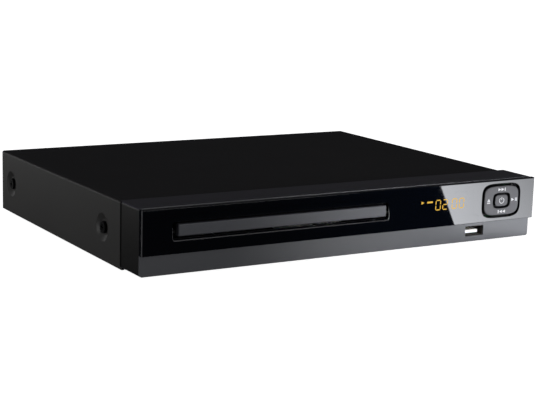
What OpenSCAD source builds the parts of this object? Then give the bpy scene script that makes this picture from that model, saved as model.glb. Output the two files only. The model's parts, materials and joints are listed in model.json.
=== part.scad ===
// Compact disc player with a motor-driven loading tray.
//
// All places inside the modules are cabinet coordinates in millimetres: X runs to the right from the middle
// of the cabinet, Y runs back from the front plane of the lower band, Z runs up from the bottom edge of the
// steel cover. at_cabinet() puts them into the part's own frame, whose origin is the middle of the footprint
// on the plane that the feet stand on.

/* [Cabinet] */
// Outside width of the steel cover
cover_w = 260; // [256:1:300]
// Outside height of the steel cover
cover_h = 37.5; // [37:0.5:45]
// Depth of the steel cover, from the seam behind the front to the back
cover_d = 182; // [180:1:240]
// Thickness of the steel sheet
sheet_t = 0.8; // [0.6:0.1:1]
// Bend radius along the cover's top edges
cover_bend_r = 1.2; // [1:0.1:2.5]
// Radius of the pressed dimples round the side screws
dimple_r = 8.5; // [7:0.5:10]
// Depth of the pressed dimples
dimple_depth = 1.5; // [0.8:0.1:1.5]
// Height of the feet
foot_h = 3; // [2:0.5:8]
// Radius of the feet
foot_r = 6.5; // [5:0.5:9]

/* [Front] */
// How far the lower band reaches past the cover on each side
band_over = 1.25; // [1.1:0.05:1.7]
// Height of the band's lower edge above the cover's lower edge
band_bottom = 1.6; // [1:0.1:3]
// Depth of the moulded front, from the band to the seam
fascia_d = 24.5; // [23:0.5:28]
// Wall thickness of the moulded front
fascia_t = 1.6; // [1.2:0.1:1.8]
// How far the moulded front stands above the cover
fascia_rise = 0.9; // [0.8:0.1:1.2]
// Radius of the moulded front's long corners
fascia_corner_r = 1.5; // [0.5:0.1:1.8]
// How far the glossy panel reaches past the band on each side
panel_over = 0.5; // [0.3:0.05:1]
// Thickness of the glossy panel, which stands in front of the band
panel_t = 3.3; // [2.5:0.1:4]
// Height of the glossy panel's lower edge
panel_bottom = 13.3; // [12.5:0.1:15]
// How far the glossy panel stands above the cover
panel_rise = 1; // [0.9:0.1:1.5]

/* [Tray] */
// Room between the loader's screw ears and the left side of the cover
side_room = 8; // [6:0.5:9]
// How far the tray's front door reaches past the tray on each side
door_over = 1.35; // [1:0.05:1.6]
// Height of the tray's front door
door_h = 6.6; // [6:0.1:7]
// Height of the door's lower edge
door_z = 22.5; // [22.3:0.1:23]
// Thickness of the door
door_t = 3.4; // [2.5:0.1:3.6]
// Width of the tray
tray_w = 130; // [129:0.5:131]
// Thickness of the tray plate
tray_t = 4.6; // [4.2:0.1:4.8]
// Place of the disc's centre behind the band
disc_y = 72; // [71:0.5:76]
// Radius of the large disc that the tray takes
disc_r = 60; // [58:0.5:60]
// Radius of the small disc that the tray takes
small_disc_r = 40; // [38:0.5:42]
// Depth of the large recess
recess_depth = 2.2; // [1.8:0.1:2.4]
// Further depth of the small recess
small_recess_depth = 1.2; // [0.8:0.1:1.3]
// Width of the slot that lets the turntable and the lens through
tray_slot_w = 46; // [44:0.5:50]
// Travel of the tray
tray_travel = 128; // [90:1:128]

/* [Keys and port] */
// Distance of the keypad's centre from the right end of the band
pad_inset = 24.95; // [24:0.05:26]
// Height of the keypad's centre
pad_z = 25.8; // [25.5:0.1:26]
// Width of the keypad
pad_w = 26.2; // [25:0.1:27]
// Height of the keypad
pad_h = 17.8; // [17.6:0.1:18]
// Groove round the keypad
pad_groove = 1.6; // [1.2:0.1:1.8]
// How far the keypad stands in front of the panel
pad_proud = 0.6; // [0.4:0.1:1]
// Width of the power key
key_w = 9.7; // [9:0.1:10]
// Height of the power key
key_h = 6.7; // [6.2:0.1:6.8]
// Distance of the serial port's centre from the right end of the band
port_inset = 41.55; // [40:0.05:43]
// Height of the serial port's centre
port_z = 7.9; // [7.6:0.1:8.2]

/* [Mechanism] */
// Room between the tray and the loader frame on each side
tray_play = 0.6; // [0.4:0.05:1]
// Wall thickness of the loader frame
loader_t = 2.4; // [2:0.1:3]
// Tooth size of the tray rack and its gear
rack_m = 1; // [0.9:0.05:1]
// Teeth of the gear that drives the rack
drive_teeth = 18; // [16:1:18]
// Teeth of the large wheel on the same gear
wheel_teeth = 40; // [36:1:40]
// Teeth of the pinion on the belt pulley
pinion_teeth = 14; // [12:1:14]
// Tooth size of the large wheel and the pinion
wheel_m = 0.8; // [0.7:0.05:0.8]
// Angle by which the drive unit tips down to free the disc, in degrees
lift_deg = 4.5; // [3.5:0.1:4.6]
// Travel of the cam slider that lifts the drive unit
cam_travel = 18; // [14:0.5:20]
// Travel of the pickup sled
sled_travel = 34; // [28:0.5:34]
// Radius of the sled's guide rods
guide_r = 1.5; // [1.2:0.1:1.6]
// Radius of the turntable
turntable_r = 14; // [12:0.5:15]
// Play between gear teeth
tooth_play = 0.15; // [0.1:0.01:0.2]
// Radial play of a shaft in its bore
bore_play = 0.05; // [0.03:0.01:0.08]

/* [Hidden] */
$fn = 48;

// Clearances
fit = 0.2;        // between fixed pieces that slip into each other
gap = 0.3;        // between moving pieces
eps = 0.1;        // by which a cut runs past the face that it opens

// Cabinet
seam = 0.3;
band_w = cover_w + 2 * band_over;
panel_w = band_w + 2 * panel_over;
front_floor = band_bottom + fascia_t;
cover_y = fascia_d + seam;
back_y = cover_y + cover_d;
rear_socket_proud = 8;
panel_top = cover_h + panel_rise;
fascia_top = cover_h + fascia_rise;
inner_x = cover_w / 2 - sheet_t;
inner_top = cover_h - sheet_t;
chassis_x = inner_x - dimple_depth;
flange_h = 8;
tab_h = 28;
tab_w = 18;
dimple_z = 18.6;
dimple_ys = [50.5, back_y - 15.3];
rear_lip_h = 6.5;
front_y = -panel_t - pad_proud;
rear_y = back_y + rear_socket_proud;
band_y = -(front_y + rear_y) / 2;
foot_xs = [26 - cover_w / 2, cover_w / 2 - 26];
foot_ys = [cover_y + 12, back_y - 16];
case_screw_r = 1.4;
case_head_r = 3.5;
case_head_h = 1.6;
dimple_floor_r = case_head_r + 1.1;
rear_screw_xs = [30 - cover_w / 2, 0, cover_w / 2 - 30];
rear_screw_z = cover_h - rear_lip_h / 2 - 0.4;
fascia_tab_xs = [38 - cover_w / 2, 0, cover_w / 2 - 38];
fascia_tab_w = 12;
fascia_tab_l = 10;

// Loader frame across the cabinet, set from the left side of the cover
ear_w = 10;
loader_w = tray_w + 2 * (tray_play + loader_t);
tray_cx = loader_w / 2 + ear_w + side_room - cover_w / 2;

// Tray
door_w = tray_w + 2 * door_over;
tray_x = [tray_cx - tray_w / 2, tray_cx + tray_w / 2];
tray_z = door_z + 1.7;
tray_top = tray_z + tray_t;
recess_z = tray_top - recess_depth;
small_recess_z = recess_z - small_recess_depth;
disc_play = 1;
door_x = [tray_cx - door_w / 2, tray_cx + door_w / 2];
door_y = -panel_t + 0.1;
door_back = door_y + door_t;
tray_y = [door_back, disc_y + 113];
slot_left = 3.2;
slot_right = 1.7;
slot_below = 1.9;
slot_above = 1.1;
slot_r = 1.2;
slot_x = [door_x[0] - slot_left, door_x[1] + slot_right];
slot_z = [door_z - slot_below, door_z + door_h + slot_above];

// Loader frame
loader_x = [tray_cx - loader_w / 2, tray_cx + loader_w / 2];
loader_in = [loader_x[0] + loader_t, loader_x[1] - loader_t];
loader_y = [8, tray_y[1] + gap + loader_t + 0.3];
loader_z = [2, tray_top + 2.2];
deck_z = [13, 15];
deck_front = 46.5;
ledge_w = 3.2;
ledge_t = 1.8;
window_y = [deck_front, disc_y + 104];

// Gears
pressure = 25;    // pressure angle in degrees
tip_share = 0.8;  // height of a tooth above its pitch line, in tooth sizes
root_share = 1;   // depth of a tooth below its pitch line, in tooth sizes
drive_r = rack_m * drive_teeth / 2;
wheel_r = wheel_m * wheel_teeth / 2;
pinion_r = wheel_m * pinion_teeth / 2;
drive_at = [tray_cx + 39, 28];
rack_x = drive_at[0] + drive_r;
rack_z = [tray_z - 2.9, tray_z];
pulley_dir = 198;
pulley_at = drive_at + (wheel_r + pinion_r) * [cos(pulley_dir), sin(pulley_dir)];
pulley_r = 11;
motor_pulley_r = 4;
motor_at = [tray_cx - 27, 22];
motor_r = 11.3;
pulley_z = [deck_z[1] + 0.6, deck_z[1] + 3];
wheel_z = [pulley_z[1] + 0.2, pulley_z[1] + 2.4];
drive_z = [wheel_z[0], tray_z - 0.5];
drive_post_r = 2;
pulley_post_r = 1.5;
belt_t = 1;
belt_w = 1.2;

// Drive unit that tips on two rear pins
pivot_at = [disc_y + 96, 17.5];
pivot_r = 2.5;
plate_z = [20.5, tray_z - 1.2];
unit_x = [tray_cx - 47, tray_cx + 40];
unit_y = [disc_y - 20, disc_y + 100];
window_x = [unit_x[0] - 2, unit_x[1] + 2];
disc_z = recess_z + 1.8;
spindle_r = 1;
spindle_hub_r = 4;
motor_can_r = 12;
spindle_can_z = [10.5, plate_z[0]];
guide_xs = [tray_cx - 22, tray_cx + 22];
guide_z = 15.5;
guide_y = [disc_y + 6, disc_y + 82];
guide_block = 3;
lens_y = disc_y + 24;
feed_m = 0.6;
feed_teeth = 14;
feed_wheel_m = 0.5;
feed_wheel_teeth = 36;
feed_pinion_teeth = 12;
feed_r = feed_m * feed_teeth / 2;
feed_wheel_r = feed_wheel_m * feed_wheel_teeth / 2;
feed_pinion_r = feed_wheel_m * feed_pinion_teeth / 2;
feed_at = [tray_cx - 34.6, disc_y + 46];
feed_dir = 117;
feed_pinion_at = feed_at + (feed_wheel_r + feed_pinion_r) * [cos(feed_dir), sin(feed_dir)];
feed_rack_x = feed_at[0] + feed_r;
feed_rack_z = [12.6, 15.6];
feed_wheel_z = [plate_z[0] - 2.3, plate_z[0] - 0.5];
feed_post_r = 1;
feed_shaft_r = 0.75;
feed_can_r = 6.2;
shelf_z = [feed_wheel_z[0] - 1.9, feed_wheel_z[0] - 0.4];

// Cam slider in front of the drive unit
cam_y = [deck_front + 0.8, deck_front + 3.3];
cam_z = [3.8, 17.6];
cam_pin_xs = [tray_cx - 18, tray_cx + 18];
cam_pin_z = 15;
cam_pin_r = 1.5;
cam_arm = pivot_at[0] - (cam_y[0] + cam_y[1]) / 2;
cam_drop = cam_arm * sin(lift_deg);
cam_x = [cam_pin_xs[0] - cam_travel - 6, cam_pin_xs[1] + 6];

// Clamp
bridge_y = [disc_y - 14, disc_y + 14];
bridge_z = [loader_z[1], loader_z[1] + 1.2];
bridge_hole_r = 14;
clamper_z = disc_z + gap;
clamper_r = 13;
clamper_flange_r = 17;
clamper_flange_z = bridge_z[1] + gap;

// Keypad
pad_x = band_w / 2 - pad_inset;
board_y = [9, 10.6];
pad_back = 0.8;
bezel_w = key_w + 3.5;
bezel_h = key_h + 2.5;
bezel_y = -1.2;
gimbal_y = 3.4;
gimbal_bar = 1.6;
gimbal_x = pad_w / 2 + 0.5;
gimbal_z = pad_h / 2 + 0.8;
gimbal_pin_r = 0.6;
pad_peg_x = 9.6;
pad_peg_z = 6.1;
tact_w = 3.8;
tact_y = [5.6, board_y[0]];
plunger_y = 4.7;

// Serial port
port_x = band_w / 2 - port_inset;
port_w = 13.4;
port_h = 5.6;
port_t = 0.4;
port_y = [0.6, 14.2];
port_tongue_w = 11.1;
port_tongue_t = 2;
port_tongue_z = port_z - 0.9;
port_board_w = 20;
port_board_z = port_z - port_h / 2 - 1.3;

// Display, receiver and board posts, which share the width between the tray's slot and the keypad
free_w = pad_x - pad_w / 2 - pad_groove - slot_x[1];
share = free_w / 67.55;
receiver_x = slot_x[1] + 13.95 * share;
window_size = [42 * share, 14];
window_at = [slot_x[1] + 39.95 * share, 26];
window_left = window_at[0] - window_size[0] / 2;
window_right = window_at[0] + window_size[0] / 2;
board_posts = [[receiver_x - 0.5, 7], [receiver_x - 0.5, 33], [(window_right + pad_x - 14) / 2, 34],
    [pad_x + 16.2, 7]];
board_post_r = 2.4;
digit_h = 7;
digit_w = 4.1 * share;
digit_xs = [for (x = [15.2, 20.6, 27.8, 33.2]) window_left + x * share];
digit_z = 22.7;
digit_bar = 0.75;
digit_y = 0.1;
digit_t = 0.3;
digits = [0, 2, 0, 0];
module_y = digit_y + digit_t;

// Boards
board_t = 1.6;
board_z = 4;
board_left = loader_x[1] + ear_w + 2;
power_x = [board_left, cover_w / 2 - 5];
power_y = [34, 118];
main_x = [board_left, cover_w / 2 - 26];
power_share = (power_x[1] - power_x[0]) / 89;   // the parts on a board share its width
main_share = (main_x[1] - main_x[0]) / 68;
main_y = [126, back_y - sheet_t - 3];
wing_x = [cover_w / 2 - 152, main_x[0]];
wing_y = [loader_y[1] + 2.5, main_y[1]];
board_top = board_z + board_t;
inner_screw_r = 1.25;
inner_head_r = 2.7;
inner_head_h = 1.5;
stand_r = 3;
power_screws = [for (x = [power_x[0] + 4, power_x[1] - 4], y = [power_y[0] + 4, power_y[1] - 4]) [x, y]];
main_screws = [for (x = [main_x[0] + 4, main_x[1] - 4], y = [main_y[0] + 4, main_y[1] - 24]) [x, y]];
board_screws = concat(power_screws, main_screws);
ear_top = loader_z[0] + 3;
loader_ear_ys = [cover_y + 7, disc_y + 103];
loader_screws = [for (x = [loader_x[0] - ear_w / 2, loader_x[1] + ear_w / 2], y = loader_ear_ys) [x, y]];

// Rear sockets
av_x = cover_w / 2 - 68.5;
av_w = 47.4;
av_h = 14.6;
video_x = cover_w / 2 - 35;
video_w = 15;
video_h = 5.7;
phono_xs = [wing_x[0] + 8, wing_x[0] + 22, wing_x[0] + 36];
phono_r = 4.15;
phono_hole_r = 1.6;
phono_z = board_top + 8;
inlet_x = cover_w / 2 - 13.5;
inlet_z = 14;
inlet_w = 16.2;
inlet_h = 8.2;
inlet_wall = 2;
inlet_pin_x = 4.3;
inlet_pin_r = 1.2;
inlet_depth = 12;
inlet_back = 2.4;
inlet_tail = 2.5;
socket_lip = 1;
panel_y = [back_y - sheet_t, back_y];

// Colours
steel_black = [0.09, 0.09, 0.09];
zinc = [0.62, 0.63, 0.64];
front_grey = [0.27, 0.27, 0.29];
gloss_black = [0.02, 0.02, 0.03];
door_grey = [0.3, 0.3, 0.32];
board_green = [0.1, 0.32, 0.16];
black_plastic = [0.05, 0.05, 0.06];
cream = [0.86, 0.84, 0.78];
silver = [0.75, 0.75, 0.77];
amber = [1, 0.65, 0.12];
rubber_black = [0.07, 0.07, 0.07];

// ---- Helpers ----

// Moves cabinet coordinates into the part's frame
module at_cabinet() {
    translate([0, band_y, foot_h]) children();
}

// A box given by its low and high value along each axis
module block(x, y, z) {
    translate([x[0], y[0], z[0]]) cube([x[1] - x[0], y[1] - y[0], z[1] - z[0]]);
}

// A box given by its middle and its width in X
module centred(x, w, y, z) {
    block([x - w / 2, x + w / 2], y, z);
}

// Round bars along the three axes
module post(x, y, z, r) {
    translate([x, y, z[0]]) cylinder(r = r, h = z[1] - z[0]);
}

module rod_x(x, y, z, r) {
    translate([x[0], y, z]) rotate([0, 90, 0]) cylinder(r = r, h = x[1] - x[0]);
}

module rod_y(x, y, z, r) {
    translate([x, y[1], z]) rotate([90, 0, 0]) cylinder(r = r, h = y[1] - y[0]);
}

// Extrudes an outline drawn in X and Z along Y
module along_y(y) {
    translate([0, y[1], 0]) rotate([90, 0, 0]) linear_extrude(height = y[1] - y[0]) children();
}

// Extrudes an outline drawn in Y and Z along X
module along_x(x) {
    translate([x[0], 0, 0]) rotate([90, 0, 90]) linear_extrude(height = x[1] - x[0]) children();
}

// A rectangle with round corners
module rounded(x, y, r) {
    translate([x[0] + r, y[0]]) square([x[1] - x[0] - 2 * r, y[1] - y[0]]);
    translate([x[0], y[0] + r]) square([x[1] - x[0], y[1] - y[0] - 2 * r]);
    for (cx = [x[0] + r, x[1] - r], cy = [y[0] + r, y[1] - r]) translate([cx, cy]) circle(r = r);
}

// Repeats a piece on the left and on the right
module both_sides() {
    children();
    mirror([1, 0, 0]) children();
}

// Outline of a pillow-like rectangle with bulging sides: |x/a|^n + |y/b|^n = 1
function signed_power(v, p) = sign(v) * pow(abs(v), p);
function pillow(a, b, n, steps) = [
    for (i = [0:steps - 1])
        [a * signed_power(cos(360 * i / steps), 2 / n), b * signed_power(sin(360 * i / steps), 2 / n)]
];

// Involute teeth. The half angle of a tooth at radius r shrinks by the involute of the pressure angle there.
function involute(a) = tan(a) * 180 / PI - a;
function half_tooth(r, pitch_r, teeth) =
    90 / teeth - tooth_play / 4 / pitch_r * 180 / PI
    + involute(pressure) - involute(acos(min(1, pitch_r * cos(pressure) / r)));
function flank_radii(pitch_r, m) = let (
        base = pitch_r * cos(pressure),
        root = pitch_r - root_share * m,
        tip = pitch_r + tip_share * m,
        low = max(base, root)
    ) concat(root < base ? [root] : [], [for (i = [0:3]) low + (tip - low) * i / 3]);
function gear_outline(teeth, m) =
    let (pitch_r = m * teeth / 2, radii = flank_radii(pitch_r, m), last = len(radii) - 1) [
        for (i = [0:teeth - 1], k = [0:2 * last + 1])
            let (
                r = k <= last ? radii[k] : radii[2 * last + 1 - k],
                side = k <= last ? -1 : 1,
                a = 360 * i / teeth + side * half_tooth(max(r, pitch_r * cos(pressure)), pitch_r, teeth)
            ) [r * cos(a), r * sin(a)]
    ];

module gear(at, z, teeth, m, turn) {
    translate([at[0], at[1], z[0]]) rotate(turn)
        linear_extrude(height = z[1] - z[0]) polygon(gear_outline(teeth, m));
}

// A straight rack along Y whose teeth point to -X. Its tooth spaces are centred on mesh_y.
module rack(pitch_x, y, z, m, mesh_y, back_w) {
    pitch = PI * m;
    half = pitch / 4 - tooth_play / 4;
    first = ceil((y[0] - mesh_y) / pitch);
    last = floor((y[1] - mesh_y) / pitch) - 1;
    root_x = pitch_x + root_share * m;
    tip_x = pitch_x - tip_share * m;
    half_root = half + root_share * m * tan(pressure);
    half_tip = half - tip_share * m * tan(pressure);
    teeth = [for (i = [first:last], p = [[root_x, -half_root], [tip_x, -half_tip], [tip_x, half_tip],
        [root_x, half_root]]) [p[0], mesh_y + (i + 0.5) * pitch + p[1]]];
    translate([0, 0, z[0]]) linear_extrude(height = z[1] - z[0])
        polygon(concat([[root_x + back_w, y[0]], [root_x, y[0]]], teeth,
            [[root_x, y[1]], [root_x + back_w, y[1]]]));
}

// ---- Case ----

module side_screw_places() {
    both_sides() for (y = dimple_ys) translate([cover_w / 2, y, dimple_z]) rotate([0, -90, 0]) children();
}

module rear_screw_places() {
    for (x = rear_screw_xs) translate([x, back_y + sheet_t, rear_screw_z]) rotate([90, 0, 0]) children();
}

module bottom_screw_places() {
    for (x = fascia_tab_xs) translate([x, fascia_d + fascia_tab_l / 2, 0]) children();
}

module stand(at, top) {
    difference() {
        post(at[0], at[1], [sheet_t - eps, top], stand_r);
        post(at[0], at[1], [0, top + eps], inner_screw_r + bore_play);
    }
}

// Steel floor with turned-up sides, screw tabs, raised seats and cooling slots
module base_chassis() {
    vent_l = 22;
    vent_w = 2.4;
    vent_pitch = 7;
    color(zinc) at_cabinet() {
        difference() {
            union() {
                block([-chassis_x, chassis_x], [fascia_d, panel_y[0]], [0, sheet_t]);
                both_sides() {
                    block([chassis_x - sheet_t, chassis_x], [cover_y + 4, panel_y[0]], [0, flange_h]);
                    for (y = dimple_ys)
                        block([chassis_x - sheet_t, chassis_x],
                            [y - tab_w / 2, min(y + tab_w / 2, panel_y[0])], [0, tab_h]);
                }
            }
            side_screw_places() cylinder(r = case_screw_r + 0.1, h = 6);
            bottom_screw_places() translate([0, 0, -eps]) cylinder(r = case_screw_r + 0.1, h = 2);
            for (x = foot_xs, y = foot_ys) post(x, y, [-eps, sheet_t + eps], foot_r / 3 + 0.1);
            for (at = concat(board_screws, loader_screws))
                post(at[0], at[1], [-eps, sheet_t + eps], inner_screw_r + bore_play);
            for (i = [0:8], y = [power_y[0] + 16, power_y[0] + 46])
                centred(power_x[0] + (16 + i * vent_pitch) * power_share, vent_w, [y, y + vent_l],
                    [-eps, sheet_t + eps]);
        }
        for (at = board_screws) stand(at, board_z);
        for (at = loader_screws) stand(at, loader_z[0]);
    }
}

// Steel back with a hole for each socket and a row of cooling slots
module rear_panel() {
    vent_w = 2;
    vent_x = [18 - cover_w / 2, wing_x[0] - 8];
    foot_l = 5;
    color(zinc) at_cabinet() difference() {
        union() {
            block([-inner_x + fit, inner_x - fit], panel_y, [sheet_t, inner_top - fit]);
            block([-chassis_x + 2, chassis_x - 2], [panel_y[0] - foot_l, panel_y[1]],
                [sheet_t, 2 * sheet_t]);
        }
        along_y([panel_y[0] - eps, panel_y[1] + eps]) {
            rounded([av_x - av_w / 2 - fit, av_x + av_w / 2 + fit],
                [board_top - fit, board_top + av_h + fit], 0.5);
            rounded([video_x - video_w / 2 - fit, video_x + video_w / 2 + fit],
                [board_top - fit, board_top + video_h + fit], 0.5);
            rounded([inlet_x - inlet_w / 2 - inlet_wall - fit, inlet_x + inlet_w / 2 + inlet_wall + fit],
                [inlet_z - inlet_h / 2 - inlet_wall - fit, inlet_z + inlet_h / 2 + inlet_wall + fit], 1);
            for (x = phono_xs) translate([x, phono_z]) circle(r = phono_r + 0.8 + fit);
            for (i = [0:16])
                translate([vent_x[0] + (vent_x[1] - vent_x[0]) * i / 16, 8]) square([vent_w, 14]);
        }
        rear_screw_places() translate([0, 0, -eps]) cylinder(r = case_screw_r + 0.1, h = 4);
    }
}

module cover_outline(x, top, r) {
    rounded([-x, x], [-2 * r - 4, top], r);
}

// Steel cover: top and sides bent from one sheet, with a joggled front edge and a rear lip
module top_cover() {
    tongue_l = 5;
    overlap = 3;
    color(steel_black) at_cabinet() difference() {
        union() {
            difference() {
                union() {
                    along_y([cover_y, back_y + sheet_t]) cover_outline(cover_w / 2, cover_h, cover_bend_r);
                    along_y([cover_y - tongue_l, cover_y + overlap])
                        cover_outline(inner_x, inner_top, cover_bend_r / 2);
                }
                along_y([cover_y + overlap, back_y + sheet_t + eps])
                    cover_outline(inner_x, inner_top, cover_bend_r / 2);
                along_y([cover_y - tongue_l - eps, cover_y + overlap + eps])
                    cover_outline(inner_x - sheet_t, inner_top - sheet_t, cover_bend_r / 2);
                block([-cover_w, cover_w], [0, back_y + 9], [-20, 0]);
                block([-cover_w, cover_w], [0, cover_y], [-20, front_floor + gap]);
            }
            block([-inner_x, inner_x], [back_y, back_y + sheet_t],
                [cover_h - rear_lip_h, inner_top + eps]);
            side_screw_places() translate([0, 0, sheet_t - eps])
                cylinder(r1 = dimple_r, r2 = dimple_floor_r + 0.3, h = dimple_depth + eps);
        }
        side_screw_places() {
            translate([0, 0, -eps])
                cylinder(r1 = dimple_r - 0.3, r2 = dimple_floor_r, h = dimple_depth + eps);
            cylinder(r = case_screw_r + 0.2, h = 6);
        }
        rear_screw_places() translate([0, 0, -eps]) cylinder(r = case_screw_r + 0.1, h = 4);
    }
}

// A pan-head screw with a cross recess, its head's outer face at z = -head_h
module case_screw(length) {
    difference() {
        union() {
            translate([0, 0, -case_head_h]) cylinder(r = case_head_r, h = case_head_h);
            cylinder(r = case_screw_r, h = length);
        }
        translate([0, 0, -case_head_h + 0.4]) {
            cube([0.9, 3.6, 0.9], center = true);
            cube([3.6, 0.9, 0.9], center = true);
        }
    }
}

module case_screws() {
    color(black_plastic) at_cabinet() {
        side_screw_places() translate([0, 0, dimple_depth]) case_screw(5);
        rear_screw_places() case_screw(4);
        bottom_screw_places() case_screw(2.6);
    }
}

// Rubber feet, each with a button that snaps through the floor
module feet() {
    color(rubber_black) at_cabinet() for (x = foot_xs, y = foot_ys) {
        post(x, y, [-foot_h, 0], foot_r);
        post(x, y, [-eps, sheet_t + fit], foot_r / 3);
        translate([x, y, sheet_t + fit]) cylinder(r1 = foot_r / 2.2, r2 = foot_r / 3, h = 1.4);
    }
}

// ---- Front ----

module slot_outline(grow) {
    rounded([slot_x[0] - grow, slot_x[1] + grow], [slot_z[0] - grow, slot_z[1] + grow], slot_r + grow);
}

module pad_outline(grow) {
    translate([pad_x, pad_z]) polygon(pillow(pad_w / 2 + grow, pad_h / 2 + grow, 4.2, 72));
}

module window_outline() {
    translate([window_at[0] - window_size[0] / 2, window_at[1] - window_size[1] / 2]) square(window_size);
}

// Moulded front with the lower band, the top ledge and the end cheeks
module front_fascia() {
    inner = [-band_w / 2 + fascia_t, band_w / 2 - fascia_t];
    bracket = 3;
    bracket_in = gimbal_x + 1;
    color(front_grey) at_cabinet() difference() {
        union() {
            difference() {
                along_y([0, fascia_d])
                    rounded([-band_w / 2, band_w / 2], [band_bottom, fascia_top], fascia_corner_r);
                block(inner, [fascia_t, fascia_d + eps], [front_floor, fascia_top - fascia_t]);
            }
            for (x = fascia_tab_xs)
                centred(x, fascia_tab_w, [fascia_d - 3, fascia_d + fascia_tab_l],
                    [sheet_t, front_floor]);
            for (p = board_posts) rod_y(p[0], [fascia_t - eps, board_y[0]], p[1], board_post_r);
            for (side = [-1, 1])
                centred(pad_x + side * (bracket_in + bracket / 2), bracket,
                    [fascia_t - eps, gimbal_y + 2], [pad_z - 2.5, pad_z + 2.5]);
        }
        for (x = fascia_tab_xs)
            centred(x, fascia_tab_w + 1, [0, fascia_d], [0, band_bottom]);
        along_y([-eps, fascia_t + eps]) {
            slot_outline(0);
            pad_outline(pad_groove);
            window_outline();
            rounded([port_x - port_w / 2 - fit, port_x + port_w / 2 + fit],
                [port_z - port_h / 2 - fit, port_z + port_h / 2 + fit], 0.5);
            translate([receiver_x, 25.8]) circle(r = 2.6);
        }
        for (p = board_posts) rod_y(p[0], [fascia_t + 1, board_y[0] + eps], p[1], 1);
        rod_x([pad_x - bracket_in - bracket - eps, pad_x + bracket_in + bracket + eps], gimbal_y, pad_z,
            gimbal_pin_r + bore_play);
        bottom_screw_places() cylinder(r = case_screw_r + bore_play, h = 2.8);
    }
}

// Glossy panel in front of the upper part, with bevelled edges
module gloss_panel() {
    bevel = 0.5;
    x = [-panel_w / 2, panel_w / 2];
    z = [panel_bottom, panel_top];
    color(gloss_black) at_cabinet() difference() {
        intersection() {
            along_x(x) polygon([[0, z[0]], [0, z[1]], [bevel - panel_t, z[1]], [-panel_t, z[1] - bevel],
                [-panel_t, z[0] + bevel / 2], [bevel / 2 - panel_t, z[0]]]);
            translate([0, 0, z[0] - 1]) linear_extrude(height = z[1] - z[0] + 2)
                polygon([[x[0], 0], [x[0], bevel - panel_t], [x[0] + bevel, -panel_t],
                    [x[1] - bevel, -panel_t], [x[1], bevel - panel_t], [x[1], 0]]);
        }
        along_y([-panel_t - eps, eps]) {
            slot_outline(0);
            pad_outline(pad_groove);
            window_outline();
        }
        hull() {
            along_y([-panel_t - eps, -panel_t]) slot_outline(0.5);
            along_y([-panel_t, -panel_t + 0.5]) slot_outline(0);
        }
    }
}

// Smoked insert in front of the display
module display_window() {
    color([0.05, 0.05, 0.06, 0.6]) at_cabinet() along_y([-panel_t, 0]) window_outline();
}

// Display block with the digits' carrier at its front
module display_module() {
    color(black_plastic) at_cabinet() difference() {
        union() {
            centred(window_at[0], window_size[0] - 2 * gap, [module_y, 6],
                [window_at[1] - window_size[1] / 2 + gap, window_at[1] + window_size[1] / 2 - gap]);
            for (i = [0:9], side = [-1, 1])
                centred(window_at[0] + (i * 4 - 18) * share, 0.5, [6 - eps, board_y[0]],
                    [window_at[1] + side * 5.2 - 0.25, window_at[1] + side * 5.2 + 0.25]);
        }
        centred(window_at[0], 38 * share, [5, 6 + eps], [window_at[1] - 3, window_at[1] + 3]);
    }
}

// Seven bars of a digit in the order top, upper left, upper right, middle, lower left, lower right, bottom
function bars(d) = d == 2 ? [1, 0, 1, 1, 1, 0, 1] : [1, 1, 1, 0, 1, 1, 1];

module digit(d) {
    half = digit_h / 2;
    b = digit_bar;
    lit = bars(d);
    slant = tan(8);
    for (k = [0, 3, 6]) if (lit[k]) bar_h(half * (6 - k) / 3 - (k == 0 ? b : k == 3 ? b / 2 : 0), slant);
    for (k = [1, 2, 4, 5]) if (lit[k]) bar_v(k % 3 == 1 ? 0 : digit_w - b, k < 3 ? half : 0, slant);
}

// A level bar and an upright bar, leaning to the right as the digits do
module bar_h(y, slant) {
    g = digit_bar + 0.12;
    top = y + digit_bar;
    polygon([[g + y * slant, y], [digit_w - g + y * slant, y], [digit_w - g + top * slant, top],
        [g + top * slant, top]]);
}

module bar_v(x, y, slant) {
    low = y + 0.35;
    high = y + digit_h / 2 - 0.35;
    polygon([[x + low * slant, low], [x + digit_bar + low * slant, low],
        [x + digit_bar + high * slant, high], [x + high * slant, high]]);
}

module display_digits() {
    color(amber) at_cabinet() {
        along_y([digit_y, module_y]) {
            for (i = [0:3]) translate([digit_xs[i], digit_z]) digit(digits[i]);
            translate([window_left + 7.2 * share, 27.1]) polygon([[-1.2, -1.2], [1.2, 0], [-1.2, 1.2]]);
            translate([window_left + 10.7 * share, 27.2]) square([4 * share, 1.1]);
        }
    }
}

// Upright board behind the display and the keys
module front_board() {
    color(board_green) at_cabinet() difference() {
        block([receiver_x - 4, pad_x + 19.7], board_y, [4.5, inner_top - 2]);
        centred(port_x, port_board_w + 0.8, [board_y[0] - eps, board_y[1] + eps],
            [0, port_z + port_h / 2 + 1.4]);
        for (p = board_posts) rod_y(p[0], [board_y[0] - eps, board_y[1] + eps], p[1], 1.2);
    }
}

// Where the five switches sit, seen from the keypad's centre
tact_places = [[0, 0], [pad_peg_x, 0], [-pad_peg_x, 0], [0, pad_peg_z], [0, -pad_peg_z]];

module tact_switches() {
    color(silver) at_cabinet() for (p = tact_places) {
        centred(pad_x + p[0], tact_w, tact_y, [pad_z + p[1] - tact_w / 2, pad_z + p[1] + tact_w / 2]);
        rod_y(pad_x + p[0], [plunger_y, tact_y[0] + eps], pad_z + p[1], 1);
    }
}

// Infrared receiver with its domed lens
module ir_receiver() {
    color(black_plastic) at_cabinet() {
        centred(receiver_x, 6, [3.6, board_y[0]], [22.8, 28.8]);
        translate([receiver_x, 3.6, 25.8]) intersection() {
            sphere(r = 2.2);
            translate([-3, -3, -3]) cube([6, 3.01, 6]);
        }
    }
}

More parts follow.
